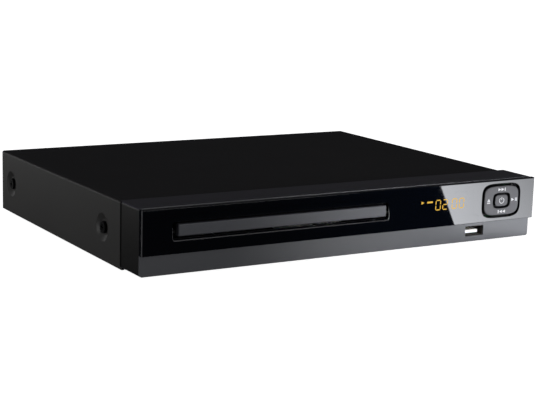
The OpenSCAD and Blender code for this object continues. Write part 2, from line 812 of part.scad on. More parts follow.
// Fixed surround of the power key, standing on the front board
module key_bezel() {
    stem_w = 8.4;
    stem_h = 2 * (pad_peg_z - tact_w / 2) - 0.4;
    color(black_plastic) at_cabinet() difference() {
        union() {
            along_y([bezel_y, pad_back]) rounded([pad_x - bezel_w / 2, pad_x + bezel_w / 2],
                [pad_z - bezel_h / 2, pad_z + bezel_h / 2], 2.2);
            centred(pad_x, stem_w, [pad_back - eps, board_y[0]], [pad_z - stem_h / 2, pad_z + stem_h / 2]);
        }
        along_y([bezel_y - eps, -0.4]) rounded([pad_x - key_w / 2 - fit, pad_x + key_w / 2 + fit],
            [pad_z - key_h / 2 - fit, pad_z + key_h / 2 + fit], 1.6);
        centred(pad_x, tact_w + 0.6, [-1, board_y[0] + eps],
            [pad_z - tact_w / 2 - 0.3, pad_z + tact_w / 2 + 0.3]);
    }
}

// Spring frame of the keypad, which rocks up and down on two side pins
module pad_frame() {
    bar_y = [gimbal_y - 0.8, gimbal_y + 0.8];
    color(black_plastic) at_cabinet() {
        difference() {
            centred(pad_x, 2 * gimbal_x, bar_y, [pad_z - gimbal_z, pad_z + gimbal_z]);
            centred(pad_x, 2 * (gimbal_x - gimbal_bar), [bar_y[0] - eps, bar_y[1] + eps],
                [pad_z - gimbal_z + 1.1, pad_z + gimbal_z - 1.1]);
        }
        for (side = [-1, 1]) {
            x = pad_x + side * (gimbal_x + 1.4);
            rod_x([x - 1.6, x + 1.6], gimbal_y, pad_z, gimbal_pin_r);
            z = pad_z + side * (gimbal_z - 1.5);
            post(pad_x, gimbal_y, [z - 0.6, z + 0.6], gimbal_pin_r);
        }
    }
}

// Four-way key with a raised pillow face, rear ears for the frame's pins and a peg behind each symbol
module key_pad() {
    peg_end = 3.9;
    ear_z = gimbal_z - 1.1 - gap - 0.6;
    color(front_grey) at_cabinet() {
        difference() {
            union() {
                hull() {
                    along_y([front_y, front_y + eps]) pad_outline(-0.9);
                    along_y([front_y + 0.6, pad_back]) pad_outline(0);
                }
                for (side = [-1, 1]) {
                    centred(pad_x, 2.6, [pad_back - eps, gimbal_y + 1.2],
                        [pad_z + side * ear_z - 0.4, pad_z + side * ear_z + 0.4]);
                    rod_y(pad_x + side * pad_peg_x, [pad_back - eps, peg_end], pad_z, 1);
                    rod_y(pad_x, [pad_back - eps, peg_end], pad_z + side * pad_peg_z, 0.8);
                }
            }
            along_y([front_y - eps, pad_back + eps]) rounded(
                [pad_x - bezel_w / 2 - gap, pad_x + bezel_w / 2 + gap],
                [pad_z - bezel_h / 2 - gap, pad_z + bezel_h / 2 + gap], 2.4);
            post(pad_x, gimbal_y, [pad_z - gimbal_z, pad_z + gimbal_z], gimbal_pin_r + bore_play);
        }
    }
}

module power_button() {
    color(front_grey) at_cabinet() {
        along_y([front_y, -1]) rounded([pad_x - key_w / 2, pad_x + key_w / 2],
            [pad_z - key_h / 2, pad_z + key_h / 2], 1.5);
        rod_y(pad_x, [-1 - eps, plunger_y - 0.6], pad_z, 1.2);
    }
}

// Serial port: a folded metal shell, and its tongue with the block that holds it
module port_shell() {
    color(silver) at_cabinet() difference() {
        centred(port_x, port_w, port_y, [port_z - port_h / 2, port_z + port_h / 2]);
        centred(port_x, port_w - 2 * port_t, [port_y[0] - eps, port_y[1] + eps],
            [port_z - port_h / 2 + port_t, port_z + port_h / 2 - port_t]);
    }
}

module port_tongue() {
    color("white") at_cabinet() {
        centred(port_x, port_tongue_w, [port_y[0] + 1.4, port_y[1] - 2],
            [port_tongue_z - port_tongue_t / 2, port_tongue_z + port_tongue_t / 2]);
        centred(port_x, port_w - 2 * port_t, [port_y[1] - 2 - eps, port_y[1]],
            [port_z - port_h / 2 + port_t, port_z + port_h / 2 - port_t]);
    }
}

module port_board() {
    color(board_green) at_cabinet() {
        centred(port_x, port_board_w, [port_y[0] + 2, fascia_d - 1], [port_board_z, port_board_z + 1.3]);
        centred(port_x, port_board_w, [fascia_d - 6, fascia_d - 1], [front_floor, port_board_z]);
    }
}

// ---- Boards and sockets ----

module board_holes(places) {
    for (at = places) post(at[0], at[1], [board_z - eps, board_top + eps], inner_screw_r + bore_play);
}

// Main board with a wing behind the loader for the phono jacks
module main_board() {
    color(board_green) at_cabinet() difference() {
        union() {
            block(main_x, main_y, [board_z, board_top]);
            block([wing_x[0], wing_x[1] + eps], wing_y, [board_z, board_top]);
        }
        board_holes(main_screws);
    }
}

// A block on the main board, from its left edge, its front edge and its top face
module on_main(x, y, z) {
    block([main_x[0] + x[0] * main_share, main_x[0] + x[1] * main_share],
        [main_y[0] + y[0], main_y[0] + y[1]], [board_top + z[0], board_top + z[1]]);
}

module board_chips() {
    color(black_plastic) at_cabinet() {
        on_main([42, 58], [18, 28], [0, 1]);
        on_main([8, 17], [34, 42], [0, 1.4]);
        on_main([24, 44], [34, 54], [0, 1.6]);
        on_main([48, 58], [40, 45], [0, 3.4]);
        on_main([22, 48], [2, 8], [0, 5]);
    }
}

// Finned cooler on the decoder chip
module heatsink() {
    color(silver) at_cabinet() {
        on_main([26, 42], [36, 52], [1.6, 3.2]);
        for (i = [0:5]) on_main([26 + i * 3, 27 + i * 3], [36, 52], [3.2 - eps, 9]);
    }
}

module power_board() {
    color([0.62, 0.48, 0.28]) at_cabinet() difference() {
        block(power_x, power_y, [board_z, board_top]);
        board_holes(power_screws);
    }
}

// Ferrite core with its wound bobbin
module transformer() {
    at = [power_x[0] + 34 * power_share, power_y[0] + 40];
    w = 11 * power_share;
    z = board_top;
    color([0.2, 0.2, 0.2]) at_cabinet() {
        difference() {
            centred(at[0], 2 * w, [at[1] - 5, at[1] + 5], [z + 3, z + 21]);
            centred(at[0], 2 * w - 6, [at[1] - 6, at[1] + 6], [z + 6, z + 18]);
        }
        centred(at[0], 2 * w - 6, [at[1] - 9, at[1] + 9], [z + 6, z + 18]);
        for (side = [-1, 1])
            centred(at[0], 2 * w - 4, [at[1] + side * 8 - 1.5, at[1] + side * 8 + 1.5], [z, z + 6 + eps]);
    }
}

// Place, height and radius of each capacitor on the power board, and of two on the main board
power_caps = [[62, 44, 22, 8], [14, 36, 16, 5], [14, 50, 16, 5], [12, 64, 12, 4], [24, 66, 12, 4]];
main_caps = [[8, 26, 11, 3.2], [62, 13, 11, 3.2]];

module capacitors() {
    color([0.12, 0.14, 0.3]) at_cabinet() {
        for (c = power_caps) post(power_x[0] + c[0] * power_share, power_y[0] + c[1],
            [board_top, board_top + c[2]], c[3]);
        for (c = main_caps) post(main_x[0] + c[0] * main_share, main_y[0] + c[1],
            [board_top, board_top + c[2]], c[3]);
    }
}

// Line filter choke and the film capacitor beside it
module line_filter() {
    x = power_x[0] + 52 * power_share;
    y = power_y[0];
    color([0.75, 0.6, 0.15]) at_cabinet() {
        centred(power_x[0] + 74 * power_share, 16 * power_share, [y + 10, y + 18],
            [board_top, board_top + 13]);
        difference() {
            post(x, y + 16, [board_top, board_top + 12], 8);
            post(x, y + 16, [board_top + 2, board_top + 12 + eps], 3.5);
        }
    }
}

module fuse() {
    x = power_x[0] + 70 * power_share;
    y = power_y[0] + 66;
    z = board_top + 4;
    color(silver) at_cabinet() {
        rod_y(x, [y - 10, y + 10], z, 2.6);
        for (end = [-8, 8]) centred(x, 5, [y + end - 1, y + end + 1], [board_top, z]);
    }
}

// Two-pin mains inlet: recess with round ends, and two round pins
module mains_inlet() {
    outer_x = inlet_w / 2 + inlet_wall;
    outer_z = inlet_h / 2 + inlet_wall;
    body_y = [back_y + socket_lip - inlet_depth - inlet_back, back_y + socket_lip];
    color(black_plastic) at_cabinet() difference() {
        union() {
            along_y(body_y)
                rounded([inlet_x - outer_x, inlet_x + outer_x], [inlet_z - outer_z, inlet_z + outer_z], 0.8);
            centred(inlet_x, 2 * outer_x + 0.4, [panel_y[0] - 1.5, panel_y[0]],
                [inlet_z - outer_z - 1, inlet_z + outer_z + 1]);
        }
        along_y([body_y[1] - inlet_depth, body_y[1] + eps])
            rounded([inlet_x - inlet_w / 2, inlet_x + inlet_w / 2],
                [inlet_z - inlet_h / 2, inlet_z + inlet_h / 2], inlet_h / 2 - 0.05);
        for (side = [-1, 1])
            rod_y(inlet_x + side * inlet_pin_x, [body_y[0] - eps, body_y[1]], inlet_z, inlet_pin_r);
    }
    color(silver) at_cabinet() for (side = [-1, 1])
        rod_y(inlet_x + side * inlet_pin_x, [body_y[0] - inlet_tail, body_y[1] - 3], inlet_z, inlet_pin_r);
}

// The two leads from the inlet down to the power board
module inlet_wires() {
    r = 1.1;
    bend = 4;
    start = back_y + socket_lip - inlet_depth - inlet_back - inlet_tail;
    end = power_y[1] - 8;
    color([0.5, 0.25, 0.12]) at_cabinet() for (side = [-1, 1]) {
        x = inlet_x + side * inlet_pin_x;
        rod_y(x, [end + bend, start], inlet_z, r);
        translate([x, end + bend, inlet_z - bend]) rotate([0, 0, 180]) rotate([0, -90, 0])
            rotate_extrude(angle = 90) translate([bend, 0]) circle(r = r);
        post(x, end, [board_top, inlet_z - bend], r);
    }
}

// Digital video socket: a flat metal shell with cut lower corners and its contact tongue
module video_outline(grow) {
    w = video_w / 2 + grow;
    translate([video_x, board_top]) polygon([[-w, video_h + grow], [w, video_h + grow], [w, 2 - grow],
        [w - 1.8, -grow], [1.8 - w, -grow], [-w, 2 - grow]]);
}

module video_socket() {
    y = [back_y + socket_lip - 11, back_y + socket_lip];
    color(silver) at_cabinet() difference() {
        along_y(y) video_outline(0);
        along_y([y[0] + 1.5, y[1] + eps]) video_outline(-0.45);
    }
    color(black_plastic) at_cabinet() centred(video_x, 12, [y[0] + 1.5, y[1] - 1.5],
        [board_top + 2.6, board_top + 3.8]);
}

// Multi-way video socket: shroud and a block with two rows of contact slots
module av_socket() {
    y = [back_y + socket_lip - 12, back_y + socket_lip];
    wall = 1;
    color(black_plastic) at_cabinet() difference() {
        centred(av_x, av_w, y, [board_top, board_top + av_h]);
        difference() {
            centred(av_x, av_w - 2 * wall, [y[0] + 3, y[1] + eps],
                [board_top + wall, board_top + av_h - wall]);
            centred(av_x, av_w - 2 * wall - 4, [y[0] + 2, y[1] - 0.5],
                [board_top + wall + 2, board_top + av_h - wall - 2]);
        }
        for (i = [0:9], row = [0, 1])
            centred(av_x - 17.1 + i * 3.8 + row * 1.9 - 0.95, 1, [y[1] - 7, y[1] + eps],
                [board_top + 4 + row * 4, board_top + 6.4 + row * 4]);
    }
}

// Phono jacks: a block on the board, and a round barrel with its centre hole
module phono_jacks() {
    y = back_y + sheet_t;
    color([0.75, 0.12, 0.1]) at_cabinet() for (x = phono_xs) difference() {
        union() {
            centred(x, 11, [wing_y[0] + 1, panel_y[0]], [board_top, phono_z + 5.5]);
            rod_y(x, [panel_y[0] - eps, back_y + 1.2], phono_z, phono_r + 0.8);
            rod_y(x, [panel_y[0] - eps, rear_y], phono_z, phono_r);
        }
        rod_y(x, [y - 2, rear_y + eps], phono_z, phono_hole_r);
    }
}

// Two flat cables: front board to main board over the power board, and loader to main board
module ribbon_cables() {
    t = 0.5;
    top = 30;
    end = main_y[0] + 5;
    path = [[board_y[1], 20], [board_y[1] + 6, top], [end - 8, top], [end, board_top + 5]];
    low = [[board_y[1], 20 - t], [board_y[1] + 6 + t / 2, top - t], [end - 8 - t / 2, top - t],
        [end - t, board_top + 5]];
    x = main_x[0] + 4;
    back = [[loader_in[1] - 14, deck_z[0] - 1.5], [loader_in[1] - 8, 7], [x - 1.5, 7], [x, board_top]];
    back_low = [[loader_in[1] - 14, deck_z[0] - 1.5 - t], [loader_in[1] - 8 - t, 7 - t], [x - 1 - t, 7 - t],
        [x - t, board_top]];
    color([0.85, 0.85, 0.88]) at_cabinet() {
        along_x([main_x[0] + 24 * main_share, main_x[0] + 46 * main_share])
            polygon(concat(path, [for (i = [3:-1:0]) low[i]]));
        along_y([148, 160]) polygon(concat(back, [for (i = [3:-1:0]) back_low[i]]));
        block([loader_in[1] - 19, loader_in[1] - 13], [147, 161], [deck_z[0] - 3, deck_z[0]]);
    }
}

// ---- Loader ----

bush_w = 4.7;
bush_r = 4.5;
bush_xs = [[unit_x[0] - 7, unit_x[0] - 7 + bush_w], [unit_x[1] + 7 - bush_w, unit_x[1] + 7]];

// Moulded frame of the loader: side walls, front deck, tray ledges and the seats of the drive unit
module loader_frame() {
    seat_y = [pivot_at[0] - 7, pivot_at[0] + 7];
    seat_z = [10, pivot_at[1] + bush_r + 1.2];
    rail_y = [deck_front - 1, deck_front + 5];
    lug_l = 8;
    color(black_plastic) at_cabinet() difference() {
        union() {
            for (x = [[loader_x[0], loader_in[0]], [loader_in[1], loader_x[1]]])
                block(x, loader_y, loader_z);
            block(loader_x, [loader_y[0], loader_y[0] + loader_t], [loader_z[0], deck_z[1]]);
            block(loader_x, [loader_y[1] - loader_t, loader_y[1]], [loader_z[0], tray_z - 1]);
            difference() {
                block(loader_x, loader_y, deck_z);
                block(window_x, window_y, [deck_z[0] - eps, deck_z[1] + eps]);
            }
            block(loader_x, rail_y, [loader_z[0], cam_z[0] - fit]);
            block([loader_in[0], loader_in[1]], [cam_y[1] + 0.5, rail_y[1]], [loader_z[0], cam_z[0] + 1.2]);
            for (x = [[loader_in[0] - eps, loader_in[0] + ledge_w],
                [loader_in[1] - ledge_w, loader_in[1] + eps]])
                block(x, [loader_y[0], loader_y[1] - loader_t],
                    [tray_z - fit - ledge_t, tray_z - fit]);
            for (y = [14, 44, disc_y + 30, disc_y + 74],
                x = [[loader_in[0] - eps, loader_in[0] + 2.6], [loader_in[1] - 2.6, loader_in[1] + eps]])
                block(x, [y, y + lug_l], [tray_top + fit, tray_top + fit + 1.4]);
            block([bush_xs[0][0], bush_xs[0][1]], seat_y, seat_z);
            block([bush_xs[1][0], bush_xs[1][1]], seat_y, seat_z);
            post(drive_at[0], drive_at[1], [deck_z[1] - eps, drive_z[1]], drive_post_r);
            post(pulley_at[0], pulley_at[1], [deck_z[1] - eps, wheel_z[1]], pulley_post_r);
            for (at = loader_screws)
                block([at[0] - ear_w / 2 - eps, at[0] + ear_w / 2 + eps], [at[1] - 5, at[1] + 5],
                    [loader_z[0], ear_top]);
            for (x = [loader_x[0] + 1.2, loader_x[1] - 1.2], y = bridge_y + [4, -4])
                post(x, y, [loader_z[1] - eps, bridge_z[1]], 0.9);
        }
        for (at = loader_screws) post(at[0], at[1], [0, ear_top + eps], inner_screw_r + bore_play);
        for (x = bush_xs) rod_x([x[0] - eps, x[1] + eps], pivot_at[0], pivot_at[1], bush_r + bore_play);
        post(motor_at[0], motor_at[1], [deck_z[0] - eps, deck_z[1] + eps], 3);
        block([loader_in[1] - eps, loader_x[1] + eps], [146, 162], [5.5, 9]);
        block([tray_cx - 60, tray_cx + 60], [loader_y[0] - eps, loader_y[0] + loader_t + eps], [5, 11]);
        block([loader_x[0] - eps, loader_x[1] + eps], [0, fascia_d + gap], [0, front_floor + gap]);
        for (x = cam_pin_xs) centred(x, 5, [cam_y[1], rail_y[1] + eps], [cam_z[0] - fit, cam_z[1]]);
    }
}

// Pressed steel bridge over the disc, with the clamper's hole and raised edges
module clamp_bridge() {
    edge_h = 2.4;
    color(zinc) at_cabinet() difference() {
        union() {
            block(loader_x, bridge_y, bridge_z);
            for (y = [bridge_y[0], bridge_y[1] - sheet_t])
                block([loader_in[0] + 6, loader_in[1] - 6], [y, y + sheet_t],
                    [bridge_z[0], bridge_z[1] + edge_h]);
            post(tray_cx, disc_y, bridge_z, clamper_flange_r + 2);
        }
        post(tray_cx, disc_y, [bridge_z[0] - eps, bridge_z[1] + eps], bridge_hole_r);
        post(tray_cx, disc_y, [bridge_z[1], bridge_z[1] + 9], clamper_flange_r + 1);
        for (x = [loader_x[0] + 1.2, loader_x[1] - 1.2], y = bridge_y + [4, -4])
            post(x, y, [bridge_z[0] - eps, bridge_z[1] + eps], 0.95);
    }
}

// Flat can motor under the deck
module loading_motor() {
    z = [front_floor + gap, deck_z[0]];
    color(silver) at_cabinet() {
        post(motor_at[0], motor_at[1], z, motor_r);
        post(motor_at[0], motor_at[1], [deck_z[0] - eps, deck_z[0] + 1.4], 2.4);
    }
}

// Rubber belt: two arcs round the pulleys, joined by two straight runs along their common tangents
module drive_belt() {
    big = pulley_r + fit;
    small = motor_pulley_r + fit;
    span = motor_at - pulley_at;
    d = norm(span);
    dir = atan2(span[1], span[0]);
    lean = acos((big - small) / d);
    run = sqrt(d * d - (big - small) * (big - small));
    lap = 0.02;
    z = (pulley_z[0] + pulley_z[1]) / 2 - belt_w / 2;
    color(rubber_black) at_cabinet() {
        translate([pulley_at[0], pulley_at[1], z]) {
            rotate(dir + lean) rotate_extrude(angle = 360 - 2 * lean)
                translate([big, 0]) square([belt_t, belt_w]);
            rotate(dir + lean) translate([big, -run - lap, 0]) cube([belt_t, run + 2 * lap, belt_w]);
            rotate(dir - lean) translate([big, -lap, 0]) cube([belt_t, run + 2 * lap, belt_w]);
        }
        translate([motor_at[0], motor_at[1], z]) rotate(dir - lean)
            rotate_extrude(angle = 2 * lean) translate([small, 0]) square([belt_t, belt_w]);
    }
}

// Rubber bushes in which the drive unit's pins turn
module pivot_bushes() {
    color(rubber_black) at_cabinet() for (x = bush_xs) difference() {
        rod_x(x, pivot_at[0], pivot_at[1], bush_r);
        rod_x([x[0] - eps, x[1] + eps], pivot_at[0], pivot_at[1], pivot_r + bore_play);
    }
}

module inner_screw(at, z, length) {
    post(at[0], at[1], [z - length, z + eps], inner_screw_r);
    difference() {
        post(at[0], at[1], [z, z + inner_head_h], inner_head_r);
        translate([at[0], at[1], z + inner_head_h]) {
            cube([0.8, 3, 1], center = true);
            cube([3, 0.8, 1], center = true);
        }
    }
}

module inner_screws() {
    color(silver) at_cabinet() {
        for (at = board_screws) inner_screw(at, board_top, board_top - 0.4);
        for (at = loader_screws) inner_screw(at, ear_top, ear_top - 0.4);
        for (p = board_posts) {
            rod_y(p[0], [fascia_t + 1.2, board_y[1] + eps], p[1], 0.95);
            rod_y(p[0], [board_y[1], board_y[1] + 1.2], p[1], 2);
        }
    }
}

// Tray with stepped recesses for both disc sizes, a rear-open slot and a rack below
module disc_tray() {
    rack_back = 3;
    arm_pocket = [disc_y + 74, tray_y[1] - 6];
    color(black_plastic) at_cabinet() {
        difference() {
            block(tray_x, tray_y, [tray_z, tray_top]);
            post(tray_cx, disc_y, [recess_z, tray_top + eps], disc_r + disc_play);
            post(tray_cx, disc_y, [small_recess_z, tray_top + eps], small_disc_r + disc_play);
            post(tray_cx, disc_y, [tray_z - eps, tray_top + eps], tray_slot_w / 2);
            centred(tray_cx, tray_slot_w, [disc_y, tray_y[1] + eps], [tray_z - eps, tray_top + eps]);
            for (side = [-1, 1]) {
                centred(tray_cx + side * (tray_slot_w / 4 + tray_w / 4), 22, arm_pocket,
                    [recess_z, tray_top + eps]);
                post(tray_cx + side * 50, disc_y - 50, [recess_z - 0.8, tray_top + eps], 9);
            }
        }
        rack(rack_x, [tray_y[0] + 18, drive_at[1] + tray_travel + 8], [rack_z[0], rack_z[1] + eps], rack_m,
            drive_at[1], rack_back);
    }
}

// Front door of the tray with bevelled edges
module tray_door() {
    bevel = 0.4;
    y = [door_y, door_back];
    z = [door_z, door_z + door_h];
    color(door_grey) at_cabinet() intersection() {
        along_x(door_x) polygon([[y[1], z[0]], [y[1], z[1]], [y[0] + bevel, z[1]], [y[0], z[1] - bevel],
            [y[0], z[0] + bevel], [y[0] + bevel, z[0]]]);
        translate([0, 0, z[0] - 1]) linear_extrude(height = z[1] - z[0] + 2)
            polygon([[door_x[0], y[1]], [door_x[0], y[0] + bevel], [door_x[0] + bevel, y[0]],
                [door_x[1] - bevel, y[0]], [door_x[1], y[0] + bevel], [door_x[1], y[1]]]);
    }
}

// Two wheels in one piece: the large one is driven by the pinion, the small one drives the rack
module drive_gear() {
    color("white") at_cabinet() difference() {
        union() {
            gear(drive_at, wheel_z, wheel_teeth, wheel_m, pulley_dir);
            gear(drive_at, [wheel_z[1] - eps, drive_z[1]], drive_teeth, rack_m, 0);
            post(drive_at[0], drive_at[1], [deck_z[1] + 0.2, wheel_z[0] + eps], 4);
        }
        post(drive_at[0], drive_at[1], [deck_z[1], drive_z[1] + 1], drive_post_r + bore_play);
        for (i = [0:4]) translate([drive_at[0], drive_at[1], 0]) rotate(72 * i)
            post(wheel_r * 0.78, 0, [wheel_z[0] - eps, wheel_z[1] + eps], 1.6);
    }
}

// Belt pulley and its pinion in one piece
module pulley_gear() {
    mid = (pulley_z[0] + pulley_z[1]) / 2;
    color("white") at_cabinet() difference() {
        union() {
            gear(pulley_at, [wheel_z[0] - 0.3, wheel_z[1]], pinion_teeth, wheel_m,
                pulley_dir + 180 + 180 / pinion_teeth);
            translate([pulley_at[0], pulley_at[1], 0]) rotate_extrude() polygon([[0, pulley_z[0]],
                [pulley_r + 0.9, pulley_z[0]], [pulley_r, mid - 0.9], [pulley_r, mid + 0.9],
                [pulley_r + 0.9, pulley_z[1]], [0, pulley_z[1]]]);
        }
        post(pulley_at[0], pulley_at[1], [deck_z[1], wheel_z[1] + 1], pulley_post_r + bore_play);
    }
}

// Small pulley with the motor's shaft, which turns in the can
module motor_pulley() {
    mid = (pulley_z[0] + pulley_z[1]) / 2;
    color("white") at_cabinet() translate([motor_at[0], motor_at[1], 0]) rotate_extrude() polygon([
        [0, deck_z[0] + 1.4 + fit], [1, deck_z[0] + 1.4 + fit], [1, pulley_z[0]],
        [motor_pulley_r + 0.8, pulley_z[0]], [motor_pulley_r, mid - 0.9], [motor_pulley_r, mid + 0.9],
        [motor_pulley_r + 0.8, pulley_z[1]], [0, pulley_z[1]]]);
}

// Upright slider with two sloping slots for the drive unit's front pins
module cam_slider() {
    play = 0.3;
    slot_h = 2 * (cam_pin_r + play);
    lean = atan2(cam_drop, cam_travel);
    color(cream) at_cabinet() difference() {
        union() {
            block(cam_x, cam_y, cam_z);
            block([cam_x[0] + 8, cam_x[0] + 14], [cam_y[0] - 4, cam_y[0] + eps], [cam_z[0], cam_z[0] + 6]);
        }
        for (x = cam_pin_xs) {
            translate([x, cam_y[0] - eps, cam_pin_z]) rotate([-90, 0, 0])
                cylinder(r = slot_h / 2, h = cam_y[1] - cam_y[0] + 2 * eps);
            translate([x - cam_travel, cam_y[0] - eps, cam_pin_z - cam_drop]) rotate([-90, 0, 0])
                cylinder(r = slot_h / 2, h = cam_y[1] - cam_y[0] + 2 * eps);
            translate([x, cam_y[0] - eps, cam_pin_z]) rotate([0, 180 - lean, 0])
                translate([0, 0, -slot_h / 2])
                    cube([norm([cam_drop, cam_travel]), cam_y[1] - cam_y[0] + 2 * eps, slot_h]);
        }
    }
}

// ---- Drive unit ----

module traverse_frame() {
    skirt_y = [unit_y[0], unit_y[0] + 2];
    ear_t = 2.5;
    opening = [lens_y - 10, lens_y + sled_travel + 12];
    shelf_x = [unit_x[0], feed_pinion_at[0] + 6];
    shelf_y = [feed_at[1] + feed_r + 1.2, feed_pinion_at[1] + 7.4];
    color([0.5, 0.5, 0.52]) at_cabinet() difference() {
        union() {
            block(unit_x, unit_y, plate_z);
            block([cam_pin_xs[0] - 12, cam_pin_xs[1] + 12], skirt_y, [12, plate_z[0] + eps]);
            for (x = cam_pin_xs) rod_y(x, [cam_y[0] - 0.2, skirt_y[0] + eps], cam_pin_z, cam_pin_r);
            for (x = [[unit_x[0], unit_x[0] + ear_t], [unit_x[1] - ear_t, unit_x[1]]])
                block(x, [pivot_at[0] - 5, pivot_at[0] + 4], [13.5, plate_z[0] + eps]);
            rod_x([unit_x[0] - 7, unit_x[0] + eps], pivot_at[0], pivot_at[1], pivot_r);
            rod_x([unit_x[1] - eps, unit_x[1] + 7], pivot_at[0], pivot_at[1], pivot_r);
            for (x = guide_xs, y = [guide_y[0], guide_y[1] - guide_block])
                centred(x, 7, [y, y + guide_block], [guide_z - 2.6, plate_z[0] + eps]);
            post(feed_at[0], feed_at[1], [feed_rack_z[0] - fit, plate_z[0] + eps], feed_post_r);
            block(shelf_x, shelf_y, shelf_z);
            block([shelf_x[0], shelf_x[0] + 1.2], shelf_y, [shelf_z[0], plate_z[0] + eps]);
            block(shelf_x, [shelf_y[1] - 1.2, shelf_y[1]], [shelf_z[0], plate_z[0] + eps]);
        }
        centred(tray_cx, 32, opening, [plate_z[0] - eps, plate_z[1] + eps]);
        post(tray_cx, disc_y, [plate_z[0] - eps, plate_z[1] + eps], spindle_hub_r + 0.8);
        for (x = guide_xs) rod_y(x, [guide_y[0] - eps, guide_y[1] + eps], guide_z, guide_r + 0.02);
        post(feed_pinion_at[0], feed_pinion_at[1], [shelf_z[0] - eps, shelf_z[1] + eps], 1.6);
        centred(tray_cx, 50, [disc_y + 84, disc_y + 94], [plate_z[0] - eps, plate_z[1] + eps]);
    }
}

module spindle_motor() {
    color(silver) at_cabinet() difference() {
        post(tray_cx, disc_y, spindle_can_z, motor_can_r);
        post(tray_cx, disc_y, [spindle_can_z[0] + 1.5, spindle_can_z[1] + eps], spindle_r + bore_play);
    }
}

module guide_rods() {
    color(silver) at_cabinet() for (x = guide_xs) rod_y(x, guide_y, guide_z, guide_r);
}

module feed_motor() {
    z = [shelf_z[0] - 10, shelf_z[0]];
    color(silver) at_cabinet() {
        post(feed_pinion_at[0], feed_pinion_at[1], z, feed_can_r);
        post(feed_pinion_at[0], feed_pinion_at[1], [z[1] - eps, shelf_z[1] - 0.2], 1.4);
    }
}

// Turntable with its centring cone, pressed on the spindle
module turntable() {
    cone_r = 7.4;
    cone_h = 2;
    plate_h = 2.5;
    color(black_plastic) at_cabinet() translate([tray_cx, disc_y, 0]) rotate_extrude() polygon([
        [0, spindle_can_z[0] + 2], [spindle_r, spindle_can_z[0] + 2], [spindle_r, plate_z[0] + 0.5],
        [spindle_hub_r, plate_z[0] + 0.5], [spindle_hub_r, disc_z - plate_h],
        [turntable_r, disc_z - plate_h], [turntable_r, disc_z], [cone_r, disc_z],
        [cone_r, disc_z + cone_h / 2], [cone_r - 2, disc_z + cone_h], [0, disc_z + cone_h]]);
}

// Clamper: a boss that presses on the disc, a flange that rests on the bridge, and a cup for the magnet
module clamper() {
    cup_r = 10;
    cup_top = clamper_flange_z + 2.1;
    color(cream) at_cabinet() translate([tray_cx, disc_y, 0]) rotate_extrude() polygon([
        [0, clamper_z + 2.2], [8.2, clamper_z + 2.2], [8.2, clamper_z], [clamper_r, clamper_z],
        [clamper_r, clamper_flange_z], [clamper_flange_r, clamper_flange_z],
        [clamper_flange_r, clamper_flange_z + 1.1], [cup_r, clamper_flange_z + 1.1], [cup_r, cup_top],
        [cup_r - 0.9, cup_top], [cup_r - 0.9, clamper_z + 3], [0, clamper_z + 3]]);
}

module clamp_magnet() {
    color([0.25, 0.25, 0.26]) at_cabinet() difference() {
        post(tray_cx, disc_y, [clamper_z + 3, clamper_z + 5.4], 8.9);
        post(tray_cx, disc_y, [clamper_z + 2, clamper_z + 6], 3);
    }
}

// Pickup sled: a block between the rods, a sleeve on the main rod, a fork on the other and the lens well
module pickup_body() {
    x = [guide_xs[0] + 3.6, guide_xs[1] - 4.2];
    y = [lens_y - 9.6, lens_y + 18];
    sleeve_x = [guide_xs[0] - 3.5, x[0] + eps];
    z = [11, plate_z[0] - 2];
    sleeve_z = [guide_z - 2.7, guide_z + 2.4];
    fork_x = [x[1] - eps, guide_xs[1] + 2.6];
    fork_y = [y[0] + 8, y[0] + 16];
    color([0.35, 0.36, 0.38]) at_cabinet() difference() {
        union() {
            block(x, y, z);
            block(sleeve_x, y, sleeve_z);
            block(fork_x, fork_y, [guide_z - guide_r - 1.4, guide_z + guide_r + 1.4]);
            centred(tray_cx, 20, [lens_y - 8, lens_y + 9], [z[1] - eps, tray_z + 0.4]);
        }
        rod_y(guide_xs[0], [y[0] - eps, y[1] + eps], guide_z, guide_r + bore_play);
        block([guide_xs[1] - guide_r - 0.4, fork_x[1] + eps], [fork_y[0] - eps, fork_y[1] + eps],
            [guide_z - guide_r - 0.08, guide_z + guide_r + 0.08]);
        centred(tray_cx, 14.4, [lens_y - 6, lens_y + 6], [tray_z - 2.6, tray_z + 1]);
    }
}

// Toothed strip beside the sleeve
module feed_rack() {
    sleeve_side = guide_xs[0] - 3.5;
    root_x = feed_rack_x + root_share * feed_m;
    y = [feed_at[1] - sled_travel - 4, feed_at[1] + 4];
    color(cream) at_cabinet()
        rack(feed_rack_x, y, feed_rack_z, feed_m, feed_at[1], sleeve_side - root_x);
}

module lens_holder() {
    z = [tray_z - 1.7, tray_z + 1.2];
    color(black_plastic) at_cabinet() difference() {
        union() {
            centred(tray_cx, 12.6, [lens_y - 4.6, lens_y + 4.6], z);
            post(tray_cx, lens_y, [z[1] - eps, z[1] + 0.8], 4.2);
        }
        post(tray_cx, lens_y, [z[1], z[1] + 2], 3.3);
    }
}

module lens() {
    z = tray_z + 1.2;
    color([0.4, 0.5, 0.8, 0.6]) at_cabinet() {
        post(tray_cx, lens_y, [z, z + 0.4], 3.2);
        translate([tray_cx, lens_y, z + 0.4]) cylinder(r1 = 2.6, r2 = 1.4, h = 0.6);
    }
}

// Feed gear: the large wheel is driven by the pinion, the small one moves the sled's rack
module feed_gear() {
    color("white") at_cabinet() difference() {
        union() {
            gear(feed_at, feed_wheel_z, feed_wheel_teeth, feed_wheel_m, feed_dir);
            gear(feed_at, [feed_rack_z[0], feed_wheel_z[0] + eps], feed_teeth, feed_m, 0);
        }
        post(feed_at[0], feed_at[1], [0, 30], feed_post_r + bore_play);
    }
}

